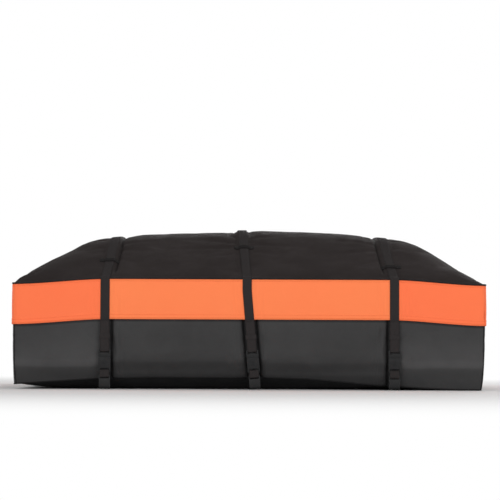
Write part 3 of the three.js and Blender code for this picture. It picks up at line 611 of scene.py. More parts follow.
def wall_painted_light(n):
    """How light the walls are painted: a painted highlight above the fold at their foot, painted shade below
    it and a painted shadow under the hem
    """
    place = n.split_place()
    from_middle = n.math("ABSOLUTE", place["X"])
    outer = n.ramp(from_middle, *OUTER_PART)
    wander = n.math("MULTIPLY", n.math("SUBTRACT", n.noise(5, 2), 0.5), PAINTED_LIGHT_WANDER)
    height = n.math("ADD", place["Z"], wander)
    lowered = n.math("ADD", height, n.math("MULTIPLY", outer, PAINTED_LIGHT_LOWER))
    share = n.math("DIVIDE", lowered, TONE_HEIGHT)
    inner_tone = tone_curve(n, share, INNER_PAINTED_LIGHT)
    outer_tone = tone_curve(n, share, OUTER_PAINTED_LIGHT)
    half_tone = n.weighed(inner_tone, n.math("SUBTRACT", 1.0, outer), outer_tone, outer)
    hem_end = TOP_SEAM_END - FLAP_DROP
    hem = n.ramp(from_middle, HALF_LENGTH - CROWN_RUN, HALF_LENGTH, hem_end + TOP_SEAM_CROWN, hem_end)
    hem.node.interpolation_type = "SMOOTHSTEP"
    # Painted shadow under the flap's hem
    rubbed = n.ramp(n.math("SUBTRACT", hem, place["Z"]), *HEM_SHADOW_REACH, HEM_SHADOW_TONE, 1)
    return n.math("MULTIPLY", half_tone, n.math("MULTIPLY", rubbed, 2.0))


WEAVE_PITCH = 0.0026
WEAVE_DEPTH = 0.00012
# Painted shade in creases: cloth that bends in between these two pointiness values is darkened, down to this
# share of its color
CREASE_BENDS = (0.43, 0.49)
CREASE_PAINTED_SHADE = 0.4
# The orange cloth is faded between its ends, from one distance to the other
FADED_PART = (0.405, 0.385)
FADED_SHARE = 0.82


def coated_fabric(
    name, dark, light, roughness, specular, weave_depth=WEAVE_DEPTH, painted_light_of=None, faded=False
):
    """Coated cloth: a fine plain weave under the coat, soft crumples, and a worn, dusty variation.
    Faded cloth has its lighter color in the bag's middle, and other cloth has painted shade in its creases."""
    material = new_material(name, dark, roughness, specular)
    n = Nodes(material)
    u, v = n.cloth_place()
    weave = n.math("MULTIPLY", n.wave(u, WEAVE_PITCH), n.wave(v, WEAVE_PITCH))
    fine = n.noise(420, 2, 0.5)
    share = n.ramp(n.weighed(n.noise(7, 4, 0.6), 0.8, fine, 0.2), 0.32, 0.68)
    if faded:
        middle = n.ramp(n.math("ABSOLUTE", n.split_place()["X"]), *FADED_PART)
        share = n.weighed(middle, FADED_SHARE, share, 1 - FADED_SHARE)
        n.set("Base Color", n.blend(share, dark, light))
    else:
        # Painted shade: darker where the cloth bends in
        bend = n.add("ShaderNodeNewGeometry").outputs["Pointiness"]
        level = n.ramp(bend, *CREASE_BENDS, CREASE_PAINTED_SHADE, 1)
        # The walls' cloth is also given painted light and shade by height
        if painted_light_of:
            level = n.math("MULTIPLY", level, painted_light_of(n))
        scaled = n.calculate("ShaderNodeVectorMath", "SCALE", n.blend(share, dark, light))
        n.put(scaled.inputs["Scale"], level)
        n.set("Base Color", scaled.outputs["Vector"])
    n.set("Roughness", n.ramp(n.noise(16, 3, 0.6), 0.3, 0.7, roughness - 0.06, roughness + 0.07))
    crumple = n.bump(n.noise(22, 4, 0.55), 0.0016)
    n.set("Normal", n.bump(weave, weave_depth, n.bump(fine, 0.00006, crumple)))
    return material


HERRINGBONE_WIDTH = 0.0031
HERRINGBONE_SLANT = 1500
RIB_PITCH = 0.0017
CORD_PITCH = 0.0021


def webbing_material(name, dark, light):
    """Polyester webbing: ribs across with a herringbone shift, cords along it, slight fuzz"""
    material = new_material(name, dark, 0.82, 0.03)
    n = Nodes(material)
    u, v = n.cloth_place()
    shift = n.math("MULTIPLY", n.math("PINGPONG", u, HERRINGBONE_WIDTH), HERRINGBONE_SLANT)
    height = n.weighed(n.wave(v, RIB_PITCH, shift), 0.6, n.wave(u, CORD_PITCH), 0.4)
    fuzz = n.noise(900, 2, 0.6)
    tone = n.math("ADD", n.ramp(height, -1, 1, 0, 0.6), n.math("MULTIPLY", fuzz, 0.4))
    n.set("Base Color", n.blend(n.ramp(tone, 0.15, 0.85), dark, light))
    n.set("Roughness", n.ramp(fuzz, 0.3, 0.7, 0.7, 0.86))
    n.set("Normal", n.bump(fuzz, 0.00006, n.bump(height, 0.00028)))
    return material


def moulded_plastic(name, color, worn):
    """Moulded plastic: fine spark grain, slight sink marks, edges polished by use"""
    material = new_material(name, color, 0.5, 0.1)
    n = Nodes(material)
    handled = n.noise(55, 3, 0.6)
    wear = n.math("MULTIPLY", n.edges(0.0009, 0.08), n.ramp(handled, 0.35, 0.6))
    n.set("Base Color", n.blend(wear, color, worn))
    n.set("Roughness", n.ramp(handled, 0.3, 0.7, 0.46, 0.6))
    sink_marks = n.bump(n.noise(120, 1), 0.0001)
    n.set("Normal", n.bump(n.noise(2600, 2, 0.6), 0.00003, sink_marks))
    return material


def dipped_steel(name, color, worn):
    """Steel with a soft black dip coat that has orange-peel gloss and is rubbed at its edges"""
    material = new_material(name, color, 0.48, 0.1)
    n = Nodes(material)
    n.set("Coat Weight", 0.02)
    n.set("Coat Roughness", 0.35)
    handled = n.noise(60, 4, 0.65)
    wear = n.math("MULTIPLY", n.edges(0.0008, 0.1), n.ramp(handled, 0.42, 0.62))
    n.set("Base Color", n.blend(wear, color, worn))
    n.set("Roughness", n.ramp(handled, 0.3, 0.7, 0.36, 0.52))
    n.set("Normal", n.bump(n.noise(520, 2, 0.5), 0.00005))
    return material


def thread_material(name, dark, light):
    """Twisted thread with a slight sheen"""
    material = new_material(name, dark, 0.7, 0.12)
    n = Nodes(material)
    n.set("Sheen Weight", 0.04)
    twist = n.noise(3000, 1, 0.5)
    n.set("Base Color", n.blend(n.ramp(twist, 0.35, 0.65), dark, light))
    n.set("Normal", n.bump(twist, 0.00005))
    return material


def coil_material(name, dark, light):
    """Nylon coil and woven tape, with the fine ridges of the coil along the zip"""
    material = new_material(name, dark, 0.6, 0.4)
    n = Nodes(material)
    u, v = n.cloth_place()
    height = n.weighed(n.wave(u, 0.0021), 0.7, n.wave(v, 0.0012), 0.3)
    n.set("Base Color", n.blend(n.ramp(height, -1, 1), dark, light))
    n.set("Normal", n.bump(height, 0.0003))
    return material


ORANGE = (0.885, 0.167, 0.0635)
ORANGE_FADED = (0.885, 0.212, 0.0755)
WALL_DARK = (0.033, 0.0325, 0.033)
WALL_LIGHT = (0.042, 0.0415, 0.042)
# Each look: its maker, its dark and light or plain and worn colors, and what else the maker asks for
LOOKS = {
    "black_tarpaulin": (coated_fabric, WALL_DARK, WALL_LIGHT, 0.6, 0.12),
    "piping": (coated_fabric, (0.012, 0.0115, 0.012), (0.02, 0.019, 0.02), 0.65, 0.1, 0.0001),
    "orange_tarpaulin": (coated_fabric, ORANGE, ORANGE_FADED, 0.6, 0.08, 0.00008, None, True),
    "zip_tape": (coil_material, (0.012, 0.012, 0.013), (0.026, 0.026, 0.028)),
    "slider_metal": (dipped_steel, (0.02, 0.02, 0.021), (0.2, 0.2, 0.21)),
    "webbing": (webbing_material, (0.019, 0.0165, 0.0165), (0.04, 0.0355, 0.0355)),
    "buckle_plastic": (moulded_plastic, (0.013, 0.013, 0.0135), (0.04, 0.04, 0.041)),
    "hook_steel": (dipped_steel, (0.011, 0.011, 0.0115), (0.09, 0.09, 0.094)),
    # The walls' cloth carries painted light and shade by height
    "wall_tarpaulin_painted_light": (coated_fabric, WALL_DARK, WALL_LIGHT, 0.6, 0.12, WEAVE_DEPTH, wall_painted_light),
    "keeper_webbing": (webbing_material, (0.009, 0.008, 0.008), (0.019, 0.017, 0.017)),
    "lid_tarpaulin": (coated_fabric, (0.0205, 0.0165, 0.016), (0.0275, 0.0225, 0.022), 0.72, 0.03),
    # The bottom's cloth is darker than the black cloth elsewhere, as painted shade for the shadow under the
    # bag
    "bottom_tarpaulin_painted_shade": (coated_fabric, (0.011, 0.011, 0.0115), (0.017, 0.017, 0.0175), 0.7, 0.03),
    "black_thread": (thread_material, (0.03, 0.03, 0.031), (0.07, 0.07, 0.072)),
    "keeper_thread": (thread_material, (0.012, 0.0115, 0.0115), (0.027, 0.026, 0.026)),
    "orange_thread": (thread_material, (0.62, 0.09, 0.03), (0.8, 0.14, 0.05)),
}
MATERIALS = {name: make(name, *values) for name, (make, *values) in LOOKS.items()}

# How far the load pushes the cloth out at the left end and at the right one
LEFT_FULLNESS = 0.0053
RIGHT_FULLNESS = 0.0018
FULL_FROM = 0.43


def fill_ends(obj):
    """Moves the cloth's ends out, which the load fills more at the left than at the right"""
    places = np.zeros(len(obj.data.vertices) * 3, np.float32)
    obj.data.vertices.foreach_get("co", places)
    x = places[::3]
    share = smooth_ramp((np.abs(x) - FULL_FROM) / (HALF_LENGTH - FULL_FROM))
    places[::3] = x + share * np.where(x < 0, -LEFT_FULLNESS, RIGHT_FULLNESS)
    obj.data.vertices.foreach_set("co", places)
    obj.data.update()


def finish_piece(obj, slot_name, *nodes, body="bag", look=None):
    """Gives a piece its look, which is its slot's unless another is given, and its body, and hides the nodes
    of the part that it stands for
    """
    if body == "bag":
        fill_ends(obj)
    obj.data.materials.clear()
    obj.data.materials.append(MATERIALS[look or slot_name])
    if nodes:
        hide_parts(*nodes)
    if body:
        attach(obj, body)
    return obj


# Stitching: each stitch is a short spindle of thread, half sunk in the cloth

STITCH_PITCH = 0.0046
HALF_STITCH = 0.0018
THREAD_RADIUS = 0.00042
# The spindle's rings: place from end to end, width and rise in thread radii
STITCH_RINGS = ((-1, 0.25, -0.5), (-0.55, 1, 0.35), (0.55, 1, 0.35), (1, 0.25, -0.5))
STITCH_SIDES = 5


def at_distance(distance, run, values):
    return np.stack([np.interp(distance, run, values[:, k]) for k in range(3)], -1)


def stitching(name, lines, slot_name, look, pitch=STITCH_PITCH):
    """Stitches along lines, each an array of points and one of normals that point off the cloth"""
    vertices = []
    faces = []
    angles = np.linspace(0, 2 * math.pi, STITCH_SIDES, endpoint=False)
    for points, normals in lines:
        run = run_along(points)
        count = int(run[-1] / pitch)
        if count < 1:
            continue
        middles = (np.arange(count) + 0.5) * run[-1] / count
        centre = at_distance(middles, run, points)
        end = at_distance(middles + HALF_STITCH, run, points)
        ahead = unit(end - at_distance(middles - HALF_STITCH, run, points))
        normal = unit(at_distance(middles, run, normals))
        side = np.cross(ahead, normal)
        rings = []
        for place, width, rise in STITCH_RINGS:
            middle = centre + ahead * HALF_STITCH * place + normal * THREAD_RADIUS * rise
            for angle in angles:
                offset = side * math.cos(angle) + normal * math.sin(angle)
                rings.append(middle + offset * THREAD_RADIUS * width)
        index = len(vertices) + np.arange(count * len(rings)).reshape(count, -1, STITCH_SIDES)
        vertices += np.stack(rings, 1).reshape(-1, 3).tolist()
        faces += ring_faces(index)
    obj = add_object(name, vertices, faces)
    obj.data.shade_smooth()
    return finish_piece(obj, slot_name, look=look)


# Lid

STRAP_LINES = (-58, -46, -34, -28, -22, -18, -14, -7, 0, 7, 14, 18, 22, 28, 34, 46, 58)
LINE_MARGIN = 0.06
SKEW_REACH = 0.14


def skewed_line(x, y):
    """Turns a grid line near a strap so that it runs along with the strap"""
    moved = np.array(x, float)
    for strap in STRAPS:
        near = np.maximum(0, 1 - np.maximum(0, np.abs(x - strap["x"]) - LINE_MARGIN) / SKEW_REACH)
        moved = moved + (strap_line_x(strap, y) - strap["x"]) * near
    return moved


def rounded_corner(x, y, half_x, half_y, radius):
    a = np.clip((np.abs(x) - (half_x - radius)) / radius, 0, 1)
    b = np.clip((np.abs(y) - (half_y - radius)) / radius, 0, 1)
    both = (a > 0) & (b > 0)
    round_x = np.sign(x) * (half_x - radius + radius * a * np.sqrt(1 - b * b / 2))
    round_y = np.sign(y) * (half_y - radius + radius * b * np.sqrt(1 - a * a / 2))
    return np.where(both, round_x, x), np.where(both, round_y, y)


# Folds where the straps pull the filled lid in: start, end, depth, half width
LID_CREASES = [
    ((-0.372, -0.462), (-0.366, -0.120), 0.0130, 0.0062),
    ((0.371, -0.462), (0.358, -0.120), 0.0130, 0.0062),
    ((-0.031, -0.440), (-0.041, -0.180), 0.0075, 0.0055),
    ((-0.055, -0.300), (-0.215, -0.312), 0.0040, 0.010),
    ((-0.050, -0.262), (-0.235, -0.236), 0.0042, 0.012),
    ((-0.046, -0.215), (-0.160, -0.170), 0.0034, 0.011),
    ((-0.048, -0.345), (-0.135, -0.372), 0.0026, 0.009),
    ((0.014, -0.285), (0.155, -0.305), 0.0036, 0.010),
    ((0.014, -0.235), (0.190, -0.205), 0.0040, 0.012),
    ((0.016, -0.330), (0.110, -0.362), 0.0026, 0.009),
    ((0.010, -0.150), (0.120, -0.100), 0.0030, 0.012),
    ((-0.360, -0.270), (-0.225, -0.250), 0.0040, 0.010),
    ((-0.362, -0.310), (-0.250, -0.335), 0.0034, 0.010),
    ((-0.358, -0.215), (-0.270, -0.165), 0.0034, 0.012),
    ((-0.365, -0.375), (-0.300, -0.415), 0.0024, 0.009),
    ((0.350, -0.270), (0.225, -0.250), 0.0040, 0.010),
    ((0.352, -0.315), (0.255, -0.345), 0.0034, 0.010),
    ((0.350, -0.205), (0.255, -0.160), 0.0034, 0.012),
    ((0.358, -0.380), (0.300, -0.420), 0.0024, 0.009),
    ((-0.420, -0.300), (-0.505, -0.345), 0.0030, 0.009),
    ((-0.418, -0.240), (-0.480, -0.215), 0.0028, 0.010),
    ((0.415, -0.300), (0.505, -0.345), 0.0030, 0.009),
    ((0.415, -0.235), (0.480, -0.210), 0.0028, 0.010),
    ((-0.632, -0.482), (-0.520, -0.390), 0.0026, 0.008),
    ((0.632, -0.482), (0.520, -0.390), 0.0026, 0.008),
    ((-0.632, 0.482), (-0.510, 0.385), 0.0030, 0.009),
    ((0.632, 0.482), (0.510, 0.385), 0.0030, 0.009),
    ((-0.055, 0.290), (-0.220, 0.300), 0.0040, 0.011),
    ((-0.055, 0.235), (-0.190, 0.190), 0.0036, 0.012),
    ((0.000, 0.295), (0.150, 0.315), 0.0038, 0.011),
    ((0.002, 0.225), (0.180, 0.205), 0.0038, 0.012),
    ((-0.360, 0.275), (-0.235, 0.255), 0.0040, 0.011),
    ((-0.362, 0.330), (-0.260, 0.350), 0.0032, 0.010),
    ((0.352, 0.275), (0.230, 0.255), 0.0040, 0.011),
    ((0.352, 0.330), (0.255, 0.350), 0.0032, 0.010),
    ((-0.420, 0.290), (-0.500, 0.330), 0.0030, 0.009),
    ((0.415, 0.290), (0.500, 0.330), 0.0030, 0.009),
    ((-0.040, 0.060), (-0.160, 0.040), 0.0026, 0.013),
    ((0.000, 0.050), (0.140, 0.075), 0.0026, 0.013),
    ((-0.365, 0.030), (-0.270, 0.055), 0.0030, 0.012),
    ((0.362, -0.020), (0.262, 0.015), 0.0030, 0.012),
]
LID_CAP = 0.0055
LID_PRESSURE = 3.0
LID_GROW = 0.004
# The cloth is held at the rim and under the straps, and it moves freely away from them
HELD_AT_RIM = 0.004
HELD_AT_STRAP = 0.002
FREE_FROM_RIM = 0.06
FREE_FROM_STRAP = 0.012
# The load swells the lid at its left end
SWELL_HEIGHT = 0.007
SWELL_RISE = 0.006
SWELL_FLAT = 0.07
SWELL_FALL = 0.09
SWELL_SIDE = 0.05
# Left of the middle strap the cloth is slack, and a ridge runs along that strap
SLACK_DEPTH = 0.0042
SLACK_X = (-0.33, -0.035)
SLACK_RAMPS = (0.09, 0.03)
SLACK_Y = 0.42
SLACK_FADE = 0.15
RIDGE_WIDTH = 0.017
# Rumples of two wavelengths
RUMPLE_DEPTH = 0.0016
LONG_RUMPLE = 0.085
SHORT_RUMPLE = 0.038


def lid_points():
    """The lid's outer points, settled over the load, and their places on the flat cloth"""
    anchors = [-LID_HALF_X, -CORE_X, CORE_X, LID_HALF_X]
    anchors += [strap["x"] + line * MM for strap in STRAPS for line in STRAP_LINES]
    lines_x = grid_lines(anchors, CELL)
    lines_y = grid_lines([-LID_HALF_Y, -CORE_Y, CORE_Y, LID_HALF_Y], CELL)
    plan_y = np.broadcast_to(lines_y[:, None], (len(lines_y), len(lines_x)))
    plan_x = skewed_line(np.broadcast_to(lines_x[None, :], plan_y.shape), plan_y)
    x, y = rounded_corner(plan_x, plan_y, LID_HALF_X, LID_HALF_Y, LID_CORNER)
    points = np.stack([x, y, lid_height(x, y)], -1)
    from_rim = np.minimum(LID_HALF_X - np.abs(x), LID_HALF_Y - np.abs(y))
    near_strap = np.min([np.abs(x - strap_line_x(strap, y)) for strap in STRAPS], axis=0)
    from_strap = near_strap - HALF_WEB
    held = ((from_rim < HELD_AT_RIM) | (near_strap < HALF_WEB + HELD_AT_STRAP)).astype(float)
    free = smooth_ramp(from_rim / FREE_FROM_RIM) * smooth_ramp(from_strap / FREE_FROM_STRAP)
    points[..., 2] -= crease_field(points, LID_CREASES, (0, 1)) * free
    from_left = np.maximum(0, x + LID_HALF_X)
    swell = SWELL_HEIGHT * (1 - np.exp(-from_left / SWELL_RISE))
    swell = swell * (1 - smooth_ramp((from_left - SWELL_FLAT) / SWELL_FALL))
    points[..., 2] += swell * smooth_ramp((LID_HALF_Y - np.abs(y)) / SWELL_SIDE)
    slack = smooth_ramp((x - SLACK_X[0]) / SLACK_RAMPS[0]) * smooth_ramp((SLACK_X[1] - x) / SLACK_RAMPS[1])
    along_slack = smooth_ramp((SLACK_Y - np.abs(y)) / SLACK_FADE)
    points[..., 2] -= SLACK_DEPTH * slack * along_slack
    points[..., 2] += SLACK_DEPTH * bell(x - strap_line_x(STRAPS[1], y), RIDGE_WIDTH) * along_slack
    rumple = noise_field(points, LONG_RUMPLE, 1) + 0.5 * noise_field(points, SHORT_RUMPLE, 2)
    points[..., 2] += RUMPLE_DEPTH * rumple * free
    points = settle_cloth(points, held, LID_PRESSURE, LID_GROW, LID_CAP)
    return points, np.stack([plan_x, plan_y], -1)


def make_lid():
    """Makes the lid's cloth and gives its surface as a search tree"""
    outer, uv = lid_points()
    inner = outer - grid_normals(outer) * CLOTH
    finish_piece(shell("lid_cloth", outer, inner, uv), "black_tarpaulin", "lid_panel", look="lid_tarpaulin")
    vertices = [Vector(p) for p in outer.reshape(-1, 3)]
    return BVHTree.FromPolygons(vertices, grid_faces(*outer.shape[:2]).tolist())


def height_over(tree, x, y):
    hit = tree.ray_cast(Vector((x, y, 1.0)), Vector((0, 0, -1)))[0]
    return hit.z


# Walls: each panel bulges over the load, is drawn in at the straps and curls under at its foot

WALL_TOP = ZIP_HEIGHT - FIT_GAP - TAPE_WIDTH
WALL_STAND_OFF = 0.0125
WALL_FLUSH = 0.0036
UNDER_FLAP = 0.186
CURL_FROM = 0.084
FLAT_CURL = 0.012
BELLY_TURN = 0.02
END_TAPER = 0.0075
END_TURN = 0.003
WALL_ROWS = 40


def wall_inset(height, foot, outness, x):
    """How far inside the outline the wall is: flush with the flap below it, drawn in behind the flap
    to the zip, and turned under at the foot, more so in the middle of the long sides"""
    behind_flap = np.clip((height - UNDER_FLAP) / (WALL_TOP - UNDER_FLAP), 0, 1)
    upper = WALL_FLUSH + (WALL_STAND_OFF - WALL_FLUSH) * behind_flap**1.4
    belly = belly_edge(x) / BOTTOM_SEAM_MID
    turn_height = CURL_FROM - FLAT_CURL * (1 - belly)
    turned = np.clip((turn_height - height) / (turn_height - foot), 0, 1)
    side_curl = (FLAT_CURL + BELLY_TURN * belly) * turned**1.35
    fallen = np.clip((UNDER_FLAP - height) / (UNDER_FLAP - foot), 0, 1)
    end_taper = (END_TAPER * fallen**1.3 + END_TURN * turned**4) * np.where(x < 0, 0.5, 1)
    return upper + outness * side_curl + (1 - outness) * end_taper


# Height of the walls' foot along the bag, which is lifted more at its left, and the seam on it
FOOT_SEAM = 0.0012
FOOT_X = (-0.65, -0.64, -0.52, -0.405, -0.28, 0.05, 0.16, 0.22, 0.3, 0.385, 0.47, 0.55, 0.65)
FOOT_Z = (0.011, 0.0127, 0.021, 0.029, 0.0318, 0.032, 0.0285, 0.024, 0.0165, 0.01, 0.005, 0.0015, 0.0)


def foot_rise(x):
    return np.interp(x, FOOT_X, FOOT_Z)


def wall_foot(x):
    return foot_rise(x) + FOOT_SEAM


WALL_CREASES = {
    "front": [
        ((-0.365, 0.165), (-0.345, 0.060), 0.0026, 0.006),
        ((0.362, 0.165), (0.345, 0.060), 0.0026, 0.006),
        ((-0.405, 0.060), (-0.520, 0.048), 0.0028, 0.010),
        ((0.405, 0.060), (0.530, 0.040), 0.0028, 0.010),
        ((-0.350, 0.070), (-0.240, 0.062), 0.0022, 0.009),
        ((0.350, 0.068), (0.250, 0.062), 0.0022, 0.009),
        ((-0.010, 0.070), (-0.110, 0.066), 0.0024, 0.009),
        ((0.030, 0.070), (0.130, 0.066), 0.0024, 0.009),
        ((-0.630, 0.060), (-0.560, 0.075), 0.0024, 0.009),
        ((0.630, 0.058), (0.560, 0.072), 0.0024, 0.009),
    ],
    "back": [
        ((-0.415, 0.060), (-0.530, 0.048), 0.0028, 0.010),
        ((0.415, 0.060), (0.540, 0.044), 0.0028, 0.010),
        ((-0.370, 0.080), (-0.250, 0.066), 0.0024, 0.010),
        ((0.372, 0.080), (0.250, 0.068), 0.0024, 0.010),
        ((-0.060, 0.075), (-0.170, 0.066), 0.0024, 0.010),
        ((-0.010, 0.075), (0.110, 0.066), 0.0024, 0.010),
    ],
    "left": [
        ((-0.440, 0.055), (-0.330, 0.070), 0.0026, 0.010),
        ((0.440, 0.050), (0.320, 0.072), 0.0026, 0.010),
        ((-0.120, 0.045), (0.060, 0.060), 0.0020, 0.012),
    ],
    "right": [
        ((-0.440, 0.052), (-0.320, 0.072), 0.0026, 0.010),
        ((0.440, 0.055), (0.330, 0.068), 0.0026, 0.010),
        ((0.130, 0.045), (-0.050, 0.062), 0.0020, 0.012),
    ],
}
WALL_CAP = 0.003
WALL_PRESSURE = 2.5
WALL_GROW = 0.003
WALL_MEAN_INSET = 0.01
HELD_ABOVE = 0.7
HELD_BESIDE_STRAP = 0.006
WALL_RUMPLE = 0.0011
PINCH_DEPTH = 0.0035
PINCH_WIDTH = 0.014
FOLD_DEPTH = 0.018
FOLD_WIDTH = 0.0048
FOLD_AT = HALF_WEB + 0.0044
SIDE_WAVE = 0.0125
SIDE_WAVE_DEPTH = 0.0008
SIDE_WAVE_REACH = 0.02
FOLD_SIDES = {"left": (1,), "middle": (-1, 1), "right": (-1,)}
# The cloth under the lid's seam: how far it is inside the outline and below the lid's surface
SEAM_STAND_OFF = 0.0135
UNDER_LID = 0.0046


def strap_offsets(side, x, z):
    """The distance across each strap that crosses a side, with the strap"""
    if side == "front":
        return [(strap, x - front_strap_x(strap, z)) for strap in STRAPS]
    if side == "back":
        return [(strap, x - np.full_like(z, strap_line_x(strap, HALF_WIDTH))) for strap in STRAPS]
    return []


def strap_pinch(strap, offset):
    """How far a strap draws the wall in, with a deep fold beside it and small waves past the fold"""
    pinch = PINCH_DEPTH * bell(offset, PINCH_WIDTH)
    for way in FOLD_SIDES[strap["name"]]:
        pinch = pinch + FOLD_DEPTH * bell(offset - way * FOLD_AT, FOLD_WIDTH)
        past = offset * way - FOLD_AT - 2 * FOLD_WIDTH
        wave = SIDE_WAVE_DEPTH * (1 + np.cos(2 * math.pi * past / SIDE_WAVE))
        pinch = pinch + wave * np.exp(-np.abs(past) / SIDE_WAVE_REACH) * (past > -FOLD_WIDTH)
    return pinch


def wall_points(side):
    """A wall's outer points, settled over the load, and their places on the flat cloth"""
    run = side_run([side], WALL_SEAM)
    x_at = outline_at(run, WALL_MEAN_INSET)[0]
    foot = wall_foot(x_at)
    top = WALL_TOP
    if side == "back":
        top = lid_height(x_at, outline_at(run, SEAM_STAND_OFF)[1]) - UNDER_LID
    shares = np.linspace(0, 1, WALL_ROWS) ** 1.2
    height = foot + shares[:, None] * (top - foot)
    share = np.clip((height - foot) / (WALL_TOP - foot), 0, 1)
    outness = np.broadcast_to(run["out_y"] ** 2, height.shape)
    inset = wall_inset(height, foot, outness, x_at)
    held = np.zeros(height.shape)
    held[0], held[-1], held[:, 0], held[:, -1] = 1, 1, 1, 1
    held[share > HELD_ABOVE] = 1
    for strap, offset in strap_offsets(side, x_at, height):
        inset = inset + strap_pinch(strap, offset) * smooth_ramp((1 - share) / 0.3)
        held[np.abs(offset) < HELD_BESIDE_STRAP] = 1
    points = standing_points(run, inset, height)
    axes = (0, 2) if side in ("front", "back") else (1, 2)
    free = smooth_ramp(share / 0.12) * smooth_ramp((1 - share) / 0.25)
    free = free * smooth_ramp(np.minimum(run["run"], run["run"][-1] - run["run"]) / 0.05)
    rumple = WALL_RUMPLE * (noise_field(points, 0.1, 3) + 0.5 * noise_field(points, 0.045, 4))
    inward = (crease_field(points, WALL_CREASES[side], axes) + rumple) * free
    points = standing_points(run, inset + inward, height)
    return settle_cloth(points, held, WALL_PRESSURE, WALL_GROW, WALL_CAP), flat_places(run["run"], height)


def make_walls():
    made = {}
    for side in SIDES:
        outer, uv = wall_points(side)
        obj = shell(f"{side}_wall_cloth", outer, outer - grid_normals(outer) * CLOTH, uv)
        finish_piece(obj, "black_tarpaulin", f"{side}_wall", look="wall_tarpaulin_painted_light")
        made[side] = outer
    return made


def make_skirt():
    """The band between the zip and the lid's seam, behind the flaps"""
    run = side_run(["left", "front", "right"], ZIP_SEAM)
    low = ZIP_HEIGHT + FIT_GAP + TAPE_WIDTH
    high = lid_height(*outline_at(run, SEAM_STAND_OFF)) - UNDER_LID
    height = low + np.linspace(0, 1, 7)[:, None] * (high - low)
    outer = np.full_like(height, WALL_STAND_OFF)
    obj = standing_shell("lid_skirt_cloth", run, outer, CLOTH, height)
    finish_piece(obj, "black_tarpaulin", "lid_skirt")


# Storm flaps: sewn along the top seam, free below, with a folded hem

FLAP_ROWS = 18
FLAP_CLOTH = 0.0012
FLAP_GAP = 0.0012
HEM = 0.016
HEM_EDGE = 0.0015
HEM_THICKER = 0.0007
FLAP_TOP_INSET = 0.001
LEAST_INSET = 0.00005
# Waves on both sides of a strap, strongest at a distance from it, over cloth that the strap presses in
FLAP_WAVE = 0.0185
FLAP_WAVE_DEPTH = 0.0009
FLAP_WAVE_SLANT = 0.004
WAVES_AT = 0.03
WAVES_WIDTH = 0.022
WAVES_END = 0.056
WAVES_FADE = 0.012
PRESSED_WIDTH = 0.016
DENT_WIDTH = 0.011
DENT_DEPTH = 0.0009
# Waves need this much room over the wall
WAVE_ROOM = 0.004
# Rows of stitches, by their distance from the flap's upper edge
STITCH_ROWS = (0.0055, FLAP_DROP - 0.004, FLAP_DROP - 0.0125)


def flap_inset(run, share_down, seed):
    """Ripples that grow from the sewn edge to the free one"""
    place = np.stack(np.broadcast_arrays(run["run"], 0 * share_down, seed + 0.12 * share_down), -1)
    ripple = 0.0013 * noise_field(place, 0.11, seed) + 0.0006 * noise_field(place, 0.047, seed + 1)
    return FLAP_GAP + ripple * smooth_ramp(share_down * 1.3) - 0.0008 * np.sin(math.pi * share_down)


def row_at(points, normals, rows, wanted):
    """A line through a grid at a share between its rows, whose shares fall from row to row"""
    shares = rows.ravel()[::-1]
    low = int(np.clip(np.searchsorted(shares, wanted) - 1, 0, len(shares) - 2))
    t = (wanted - shares[low]) / (shares[low + 1] - shares[low])
    return [grid[::-1][low] * (1 - t) + grid[::-1][low + 1] * t for grid in (points, normals)]


def make_flap(side, seed):
    """One side's flap with its stitches"""
    run = side_run([side], FLAP_SEAM)
    x_at = outline_at(run, FLAP_TOP_INSET)[0]
    hem_from = 1 - (HEM + HEM_EDGE) / FLAP_DROP
    rows = np.concatenate([np.linspace(1, 0, FLAP_ROWS), [1 - HEM / FLAP_DROP, hem_from]])
    down = np.unique(rows)[::-1, None]
    height = top_seam(x_at) - down * FLAP_DROP
    inset = flap_inset(run, down, seed)
    behind = wall_inset(height, wall_foot(x_at), run["out_y"] ** 2, x_at) - FLAP_CLOTH - FLAP_GAP
    room = smooth_ramp((behind - inset) / WAVE_ROOM)
    depth = FLAP_WAVE_DEPTH * (0.35 + 0.65 * smooth_ramp(down)) * room
    for _, offset in strap_offsets(side, x_at, height):
        away = np.abs(offset)
        waves = 1 + np.cos(2 * math.pi * (away + FLAP_WAVE_SLANT * down) / FLAP_WAVE)
        beside = bell(away - WAVES_AT, WAVES_WIDTH) * smooth_ramp((WAVES_END - away) / WAVES_FADE)
        inset = inset + depth * waves * beside
        pressed = bell(offset, PRESSED_WIDTH)
        dent = DENT_DEPTH * bell(offset, DENT_WIDTH) * down
        inset = inset * (1 - pressed) + FLAP_GAP * pressed + dent
    thicker = HEM_THICKER * smooth_ramp((down - hem_from) / (HEM_EDGE / FLAP_DROP))
    inset = np.maximum(np.minimum(inset, np.maximum(behind, FLAP_GAP)) - thicker, LEAST_INSET)
    obj = standing_shell(f"{side}_flap_cloth", run, inset, FLAP_CLOTH + thicker, height)
    finish_piece(obj, "orange_tarpaulin", f"{side}_storm_flap")
    outer = standing_points(run, inset, height)
    lines = [row_at(outer, grid_normals(outer), down, place / FLAP_DROP) for place in STITCH_ROWS]
    stitches = stitching(f"{side}_flap_stitching", lines, "orange_tarpaulin", "orange_thread")


# Piping and bindings

FOOT_BINDING_RADIUS = 0.0019
CORNER_BINDING_RADIUS = 0.0017


def make_piping():
    run = side_run(SIDES, 0)
    loop = {key: values[:-1] for key, values in run.items()}
    x_at, y_at = outline_at(loop, PIPING_RADIUS)
    centres = np.stack([x_at, y_at, top_seam(x_at) + FIT_GAP + PIPING_RADIUS], -1)
    finish_piece(tube("lid_piping_cord", centres, PIPING_RADIUS, 14, closed=True), "piping", "lid_piping")


